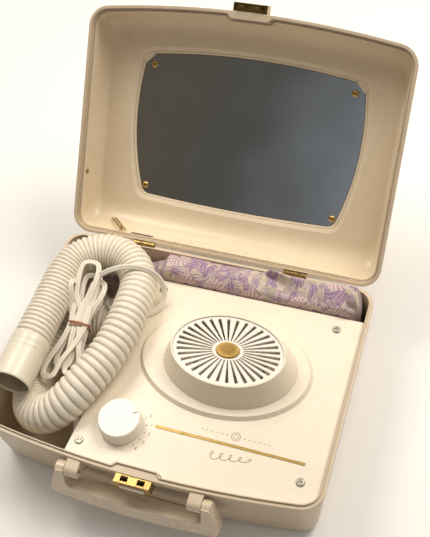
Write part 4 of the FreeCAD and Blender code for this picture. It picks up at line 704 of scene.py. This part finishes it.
# ------------------------------------------------------------------- bonnet
def print_material():
    """Cream cotton printed with large many-petalled flowers and lilac leaves."""
    s = Shade("bonnet_print")
    cloth = s.attribute("cloth").outputs["Vector"]
    warp = s.tree.nodes.new("ShaderNodeTexNoise")
    s.put(warp.inputs["Vector"], cloth)
    warp.inputs["Scale"].default_value = 90.0
    bend = s.vector("SCALE", s.vector("SUBTRACT", warp.outputs["Color"], (0.5, 0.5, 0.5)), 0.006)
    place = s.vector("ADD", cloth, bend)

    cream = s.mix(s.noise(60.0, 4.0, place=cloth), (0.68, 0.57, 0.45), (0.52, 0.42, 0.35))
    colour = s.mix(s.span(s.noise(55.0, 2.0, place=cloth), 0.50, 0.56), cream, (0.40, 0.35, 0.29))
    for scale, shift, length, width, shade, line in (
        (62.0, (0.013, 0.31, 0.0), 0.0115, 0.0042, (0.37, 0.24, 0.34), (0.19, 0.10, 0.19)),
        (74.0, (0.71, 0.12, 0.0), 0.0085, 0.0036, (0.46, 0.33, 0.40), (0.22, 0.13, 0.22)),
        (70.0, (0.37, 0.83, 0.0), 0.0100, 0.0038, (0.27, 0.15, 0.29), (0.56, 0.46, 0.46)),
        (84.0, (0.11, 0.47, 0.0), 0.0070, 0.0030, (0.58, 0.47, 0.44), (0.26, 0.16, 0.24)),
    ):
        moved = s.vector("ADD", place, shift)
        cell = s.cells(scale, place=moved, flat=True, random=0.9)
        x, y = s.parts(s.vector("SUBTRACT", moved, cell.outputs["Position"]))[:2]
        chance, spare = s.parts(cell.outputs["Color"])[:2]
        turn = s.math("MULTIPLY", chance, 6.283)
        cosine, sine = s.math("COSINE", turn), s.math("SINE", turn)
        along = s.math("ADD", s.math("MULTIPLY", x, cosine), s.math("MULTIPLY", y, sine))
        across = s.math("SUBTRACT", s.math("MULTIPLY", y, cosine), s.math("MULTIPLY", x, sine))
        across = s.math("ABSOLUTE", across)
        reach = s.math("SUBTRACT", 1.0, s.math("POWER", s.math("MULTIPLY", along, 1.0 / length), 2.0))
        margin = s.math("SUBTRACT", s.math("MULTIPLY", reach, width), across)
        inside = s.math("MULTIPLY", s.span(margin, -0.0002, 0.0002), s.span(spare, 0.22, 0.24))
        rim = s.span(margin, 0.0007, 0.0003)
        slant = s.math("SINE", s.math("MULTIPLY", s.math("ADD", along, across), 4200.0))
        vein = s.math("MAXIMUM", s.span(across, 0.0004, 0.0002), s.span(slant, 0.80, 0.95, 0.0, 0.6))
        inked = s.mix(s.noise(420.0, 3.0, 0.7, cloth), tone(shade, 1.3), tone(shade, 0.75))
        marked = s.mix(s.math("MAXIMUM", rim, vein), inked, line)
        colour = s.mix(inside, colour, marked)

    moved = s.vector("ADD", place, (0.005, 0.018, 0.0))
    cell = s.cells(25.0, place=moved, flat=True, random=0.6)
    x, y = s.parts(s.vector("SUBTRACT", moved, cell.outputs["Position"]))[:2]
    far = s.math("SQRT", s.math("ADD", s.math("POWER", x, 2.0), s.math("POWER", y, 2.0)))
    angle = s.math("ARCTAN2", y, x)
    rings = s.math("MULTIPLY", far, 1.0 / 0.0027)
    ring = s.math("FLOOR", rings)
    within = s.math("SUBTRACT", rings, ring)
    count = s.math("MULTIPLY_ADD", ring, 3.0, 6.0)
    swing = s.math(
        "ADD", s.math("MULTIPLY", angle, s.math("MULTIPLY", count, 0.5)), s.math("MULTIPLY", ring, 1.57),
    )
    petal = s.math("ABSOLUTE", s.math("COSINE", swing))
    narrow = s.math("MULTIPLY_ADD", s.math("POWER", within, 2.5), 0.62, 0.24)
    white = s.span(s.math("SUBTRACT", petal, narrow), -0.04, 0.10)
    flower = s.mix(white, (0.32, 0.19, 0.29), (0.64, 0.50, 0.46))
    flower = s.mix(s.span(far, 0.0019, 0.0013), flower, (0.17, 0.09, 0.17))
    ragged = s.math("ADD", s.math("MULTIPLY", petal, 0.0020), 0.0112)
    colour = s.mix(s.span(s.math("SUBTRACT", ragged, far), -0.0002, 0.0003), colour, flower)

    u, v = s.parts(cloth)[:2]
    warp_thread = s.math("SINE", s.math("MULTIPLY", u, 11000.0))
    weft_thread = s.math("SINE", s.math("MULTIPLY", v, 11000.0))
    weave = s.math("MULTIPLY", warp_thread, weft_thread)
    colour = s.mix(s.span(weave, -1.0, 1.0, 0.0, 0.10), colour, (0.30, 0.24, 0.24))
    normal = s.bump(weave, 0.25, 0.0001, s.bump(s.noise(240.0, 4.0, place=cloth), 0.35, 0.0005))
    return s.finish(colour, 0.86, normal, Sheen_Weight=0.25, Sheen_Roughness=0.5)


MATERIALS["print"] = print_material()


def bonnet_top(x):
    """Height in millimetres of the cloth's top along the rear compartment."""
    stations = [-134, -120, -100, -70, -57, -48, -36, 0, 60, 100, 140, 163]
    heights = [46, 60, 63, 64, 72, 87, 89, 86, 86.5, 87.5, 88, 88]
    return float(np.interp(x, stations, heights))


def smooth_noise(x, y, z=0.0):
    return noise.noise(Vector((x, y, z)))


BONNET_FRONT, BONNET_BACK, BONNET_LOW = 83.3, 113.3, 10.0  # the rear compartment, in millimetres
BONNET_EDGE = 83.2
BONNET_CEILING = 98.0
BONNET_SQUARE = 0.30  # how square the bundle's section is: 1 is an ellipse


def share_of(value, low, high):
    """How far value is from low to high, held between 0 and 1."""
    return max(0.0, min(1.0, (value - low) / (high - low)))


def bonnet_rise(x, y):
    """How far the folds lift the bundle's top at one place, in millimetres."""
    depth = (y - BONNET_FRONT) / (BONNET_BACK - BONNET_FRONT)
    long_fold = smooth_noise(x * 0.016, y * 0.11, 3.1) * 3.0
    cross = smooth_noise(x * 0.11 + y * 0.03, y * 0.05, 8.4)
    left = max(0.0, 1.0 - abs(x + 50) / 24.0)
    right = share_of(x, 96.0, 136.0)
    rumple = cross * (0.8 + 4.0 * left + 4.6 * right)
    fine = smooth_noise(x * 0.3, y * 0.3, 1.0) * 0.35
    rise = long_fold + rumple + fine
    # the overlapping flap that runs forward from the back rim on the right
    gap = y - (113.0 - max(0.0, x - 50) * 0.21 + 2.0 * math.sin(x * 0.06))
    flap = share_of(x, 46.0, 62.0) * max(0.0, min(1.0, (162 - x) / 16.0))
    rise += flap * 7.0 * (1.0 / (1.0 + math.exp(-gap * 1.9)) - 0.35)
    rise += flap * 3.2 * math.exp(-((gap - 1.4) / 1.8) ** 2)
    rise -= flap * 2.6 * math.exp(-((gap + 2.6) / 1.5) ** 2)
    return rise + 2.2 * math.sin(math.pi * min(1.0, max(0.0, depth)))


def make_bonnet():
    """The folded bonnet: one slack bundle with long folds, bunched at both ends."""
    lo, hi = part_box("bonnet")
    x0, x1 = lo.x / MM + 1.0, hi.x / MM
    rows, columns = 330, 150
    verts, cloth = [], []
    middle = (BONNET_FRONT + BONNET_BACK) / 2
    half = (BONNET_BACK - BONNET_FRONT) / 2
    for i in range(rows):
        x = x0 + (x1 - x0) * i / (rows - 1)
        end = min(1.0, (x - x0) / 9.0, (x1 - x) / 9.0)
        end = math.sqrt(max(0.02, 1.0 - (1.0 - end) ** 2))
        top = bonnet_top(x)
        tall = (top - BONNET_LOW) / 2 * (0.55 + 0.45 * end)
        arc_length = 0.0
        previous = None
        for j in range(columns):
            a = 2 * math.pi * j / columns
            c, s = math.cos(a), math.sin(a)
            y = middle + half * end * math.copysign(abs(c) ** BONNET_SQUARE, c)
            z = (top + BONNET_LOW) / 2 + tall * math.copysign(abs(s) ** BONNET_SQUARE, s)
            if previous:
                arc_length += math.hypot(y - previous[0], z - previous[1])
            previous = (y, z)
            z += share_of(z, top - 16.0, top - 4.0) * bonnet_rise(x, y)
            y += 0.6 * smooth_noise(x * 0.05, z * 0.08, 5.0)
            y = min(max(y, BONNET_EDGE), BONNET_BACK)
            verts.append((x * MM, y * MM, min(z, BONNET_CEILING) * MM))
            cloth.append((x * MM, arc_length * MM, 0.0))
    faces = grid_faces(rows, columns)
    faces.append(tuple(range(columns - 1, -1, -1)))
    faces.append(tuple((rows - 1) * columns + j for j in range(columns)))
    obj = make_mesh("bonnet_cloth", verts, faces, "print", "base")
    attribute = obj.data.attributes.new("cloth", "FLOAT_VECTOR", "POINT")
    attribute.data.foreach_set("vector", np.array(cloth, np.float32).ravel())
    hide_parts("bonnet")
    return obj


make_bonnet()


# ------------------------------------------------------- printed marks, painted slot shade
def ink_material():
    s = Shade("printed_ink")
    base = s.mix(s.noise(900.0, 3.0), (0.20, 0.13, 0.06), (0.34, 0.24, 0.13))
    return s.finish(
        base, s.span(s.noise(300.0), 0.3, 0.7, 0.45, 0.6), s.bump(s.noise(1200.0), 0.2, 0.0001),
    )


# near black for the slot: painted shade inside an opening that is not modelled
def dark_material():
    s = Shade("slot_painted_shade")
    base = s.mix(s.noise(200.0, 3.0), (0.02, 0.016, 0.012), (0.06, 0.045, 0.03))
    return s.finish(base, s.span(s.noise(300.0), 0.3, 0.7, 0.5, 0.7), s.bump(s.noise(900.0), 0.2, 0.0001))


MATERIALS["ink"] = ink_material()
MATERIALS["dark"] = dark_material()
PLATE_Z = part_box("trim_stripe")[1].z - 0.0004


def flat_strip(points, width, z):
    """A flat ribbon of ink along a line on the faceplate."""
    line = np.array(points, float)
    ahead = unit(np.gradient(line, axis=0))
    across = np.stack([-ahead[:, 1], ahead[:, 0]], axis=1) * width / 2
    left, right = line + across, line - across
    verts = [(*p, z) for p in left] + [(*p, z) for p in right]
    n = len(line)
    return verts, [(n + i, n + i + 1, i + 1, i) for i in range(n - 1)]


def join_parts(parts):
    verts, faces = [], []
    for v, f in parts:
        start = len(verts)
        verts += v
        faces += [tuple(start + k for k in face) for face in f]
    return verts, faces


def ring_strip(cx, cy, rx, ry, width, z, a0=0.0, a1=360.0, steps=48):
    angles = np.radians(np.linspace(a0, a1, steps))
    return flat_strip(np.stack([cx + rx * np.cos(angles), cy + ry * np.sin(angles)], axis=1), width, z)


DIAL_ANGLES = (32.0, 13.5, -5.0, -23.5, -42.0)


def make_marks():
    """Dial ticks, a plain round emblem between dashes, and a plain pen flourish."""
    knob_lo, knob_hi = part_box("control_knob")
    cx, cy = (knob_lo.x + knob_hi.x) / 2, (knob_lo.y + knob_hi.y) / 2
    z = PLATE_Z + 0.00008
    parts = []
    for a in DIAL_ANGLES:
        c, s = math.cos(math.radians(a)), math.sin(math.radians(a))
        ends = [(cx + 0.0230 * c, cy + 0.0230 * s), (cx + 0.0250 * c, cy + 0.0250 * s)]
        parts.append(flat_strip(ends, 0.0007, z))
    ex, ey = 0.0775, -0.0690
    parts.append(ring_strip(ex, ey, 0.0042, 0.0042, 0.0005, z))
    parts.append(ring_strip(ex, ey, 0.0024, 0.0024, 0.0004, z))
    for side in (-1, 1):
        for k in range(6):
            x = ex + side * (0.0085 + 0.0048 * k)
            parts.append(flat_strip([(x - 0.0011, ey), (x + 0.0011, ey)], 0.0005, z))
    t = np.linspace(0.0, 1.0, 130)
    wave = 0.0042 * np.sin(t * 2 * math.pi * 4.5) * (1.0 - 0.55 * t)
    fx = 0.058 + 0.040 * t + 0.0030 * np.sin(t * 2 * math.pi * 4.5 + 1.2)
    fy = -0.0925 + wave + 0.004 * t
    parts.append(flat_strip(np.stack([fx, fy], axis=1), 0.0006, z))
    verts, faces = join_parts(parts)
    obj = make_mesh("printed_marks", verts, faces, "ink", "base", smooth=False)


def make_numbers():
    """The figures beside the control knob."""
    knob_lo, knob_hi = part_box("control_knob")
    cx, cy = (knob_lo.x + knob_hi.x) / 2, (knob_lo.y + knob_hi.y) / 2
    for k, a in enumerate(DIAL_ANGLES):
        text = bpy.data.curves.new("number_%d" % k, "FONT")
        text.body = str(k)
        text.size = 0.0046
        text.extrude = 0.00002
        text.align_x = "CENTER"
        text.align_y = "CENTER"
        holder = bpy.data.objects.new("number_text", text)
        scene.collection.objects.link(holder)
        bpy.context.view_layer.update()
        mesh = bpy.data.meshes.new_from_object(holder)
        bpy.data.objects.remove(holder)
        mesh.materials.clear()
        mesh.materials.append(MATERIALS["ink"])
        c, s = math.cos(math.radians(a)), math.sin(math.radians(a))
        mesh.transform(Matrix.Translation((cx + 0.0290 * c, cy + 0.0290 * s, PLATE_Z + 0.00008)))
        obj = add_object("dial_number_%d" % k, mesh, "base")


def make_pointer():
    """The short mark on the knob's top, against the first figure."""
    lo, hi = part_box("control_knob")
    cx, cy = (lo.x + hi.x) / 2, (lo.y + hi.y) / 2
    a = math.radians(DIAL_ANGLES[0])
    c, s = math.cos(a), math.sin(a)
    ends = [(cx + 0.0140 * c, cy + 0.0140 * s), (cx + 0.0180 * c, cy + 0.0180 * s)]
    verts, faces = flat_strip(ends, 0.0007, hi.z + 0.00005)
    obj = make_mesh("knob_pointer", verts, faces, "ink", "knob", smooth=False)


def make_lid_slot():
    """A near-black sheet painted as the shade inside the slot in the lid's back wall, beside the left
    hinge.
    """
    wall, low, high = 0.1127, 0.0868, 0.0900
    hinge = Vector((0, 0.120, 0.080))
    opened = Matrix.Rotation(math.radians(-130), 4, "X")
    turn = Matrix.Translation(hinge) @ opened @ Matrix.Translation(-hinge)
    verts = []
    steps = 24
    for depth in (0.0, -0.0003):
        for k in range(steps):
            a = 2 * math.pi * k / steps
            c, s = math.cos(a), math.sin(a)
            x = -0.0905 + 0.0130 * math.copysign(abs(c) ** 0.25, c)
            z = (low + high) / 2 + (high - low) / 2 * math.copysign(abs(s) ** 0.5, s)
            verts.append(turn @ Vector((x, wall + depth, z)))
    faces = grid_faces(2, steps) + [tuple(range(steps - 1, -1, -1)), tuple(range(steps, 2 * steps))]
    obj = make_mesh("lid_slot_shade_sheet", verts, faces, "dark", "lid", smooth=False)


make_lid_slot()
make_marks()
make_numbers()
make_pointer()


# ------------------------------------------------------------ floor and light
def make_floor():
    size = 3.0
    z = -0.0003  # just under the case, so that the two faces never fight
    mesh = bpy.data.meshes.new("floor")
    mesh.from_pydata(
        [(-size, -size, z), (size, -size, z), (size, size, z), (-size, size, z)], [], [(0, 1, 2, 3)],
    )
    s = Shade("floor_white")
    base = s.mix(s.noise(3.0), (0.93, 0.93, 0.925), (0.90, 0.90, 0.895))
    mesh.materials.append(s.finish(base, 0.7))
    floor = bpy.data.objects.new("floor", mesh)
    scene.collection.objects.link(floor)


def area_light(name, place, target, size, power, colour):
    data = bpy.data.lights.new(name, "AREA")
    data.shape = "RECTANGLE"
    data.size, data.size_y = size
    data.energy = power
    data.color = colour
    light = bpy.data.objects.new(name, data)
    scene.collection.objects.link(light)
    light.location = place
    light.rotation_mode = "QUATERNION"
    light.rotation_quaternion = (Vector(target) - Vector(place)).to_track_quat("-Z", "Y")


def make_world():
    """Soft pale light, with a dim room for mirrors and gloss to show."""
    world = bpy.data.worlds.new("studio")
    scene.world = world
    world.use_nodes = True
    tree = world.node_tree
    tree.nodes.clear()
    out = tree.nodes.new("ShaderNodeOutputWorld")
    pick = tree.nodes.new("ShaderNodeMixShader")
    path = tree.nodes.new("ShaderNodeLightPath")
    pale = tree.nodes.new("ShaderNodeBackground")
    room = tree.nodes.new("ShaderNodeBackground")
    pale.inputs[0].default_value = (1.0, 0.93, 0.84, 1.0)
    coord = tree.nodes.new("ShaderNodeTexCoord")
    facing = tree.nodes.new("ShaderNodeVectorMath")
    facing.operation = "DOT_PRODUCT"
    facing.inputs[1].default_value = (0.10, 0.45, 0.88)
    tree.links.new(coord.outputs["Generated"], facing.inputs[0])
    fade = tree.nodes.new("ShaderNodeMapRange")
    for socket, number in zip(list(fade.inputs)[1:5], (-0.2, 0.9, 0.06, 0.62)):
        socket.default_value = number
    tree.links.new(facing.outputs["Value"], fade.inputs[0])
    tree.links.new(fade.outputs[0], pale.inputs[1])
    split = tree.nodes.new("ShaderNodeSeparateXYZ")
    tree.links.new(coord.outputs["Generated"], split.inputs[0])
    cloud = tree.nodes.new("ShaderNodeTexNoise")
    cloud.inputs["Scale"].default_value = 3.2
    cloud.inputs["Detail"].default_value = 3.0
    tree.links.new(coord.outputs["Generated"], cloud.inputs["Vector"])
    lean = tree.nodes.new("ShaderNodeMath")
    lean.operation = "MULTIPLY_ADD"
    lean.inputs[1].default_value = 0.35
    tree.links.new(cloud.outputs["Fac"], lean.inputs[0])
    side = tree.nodes.new("ShaderNodeMath")
    side.operation = "ADD"
    side.inputs[1].default_value = 0.45
    tree.links.new(split.outputs[0], side.inputs[0])
    tree.links.new(side.outputs[0], lean.inputs[2])
    ramp = tree.nodes.new("ShaderNodeValToRGB")
    ramp.color_ramp.elements[0].position = 0.20
    ramp.color_ramp.elements[0].color = (0.105, 0.080, 0.052, 1)
    ramp.color_ramp.elements[1].position = 0.56
    ramp.color_ramp.elements[1].color = (0.26, 0.28, 0.31, 1)
    middle = ramp.color_ramp.elements.new(0.38)
    middle.color = (0.085, 0.083, 0.074, 1)
    tree.links.new(lean.outputs[0], ramp.inputs[0])
    tree.links.new(ramp.outputs[0], room.inputs[0])
    room.inputs[1].default_value = 1.0
    tree.links.new(path.outputs["Is Glossy Ray"], pick.inputs[0])
    tree.links.new(pale.outputs[0], pick.inputs[1])
    tree.links.new(room.outputs[0], pick.inputs[2])
    backdrop = tree.nodes.new("ShaderNodeBackground")
    backdrop.inputs[0].default_value = (0.93, 0.92, 0.90, 1.0)
    seen = tree.nodes.new("ShaderNodeMixShader")
    tree.links.new(path.outputs["Is Camera Ray"], seen.inputs[0])
    tree.links.new(pick.outputs[0], seen.inputs[1])
    tree.links.new(backdrop.outputs[0], seen.inputs[2])
    tree.links.new(seen.outputs[0], out.inputs[0])


make_floor()
make_world()
area_light("key", (0.50, 0.62, 1.22), (0.0, 0.05, 0.05), (0.6, 0.6), 11.0, (1.0, 0.93, 0.82))
area_light("fill", (-0.62, 0.42, 1.22), (0.0, 0.05, 0.1), (0.6, 0.6), 8.0, (1.0, 0.94, 0.85))
scene.view_settings.view_transform = "Standard"
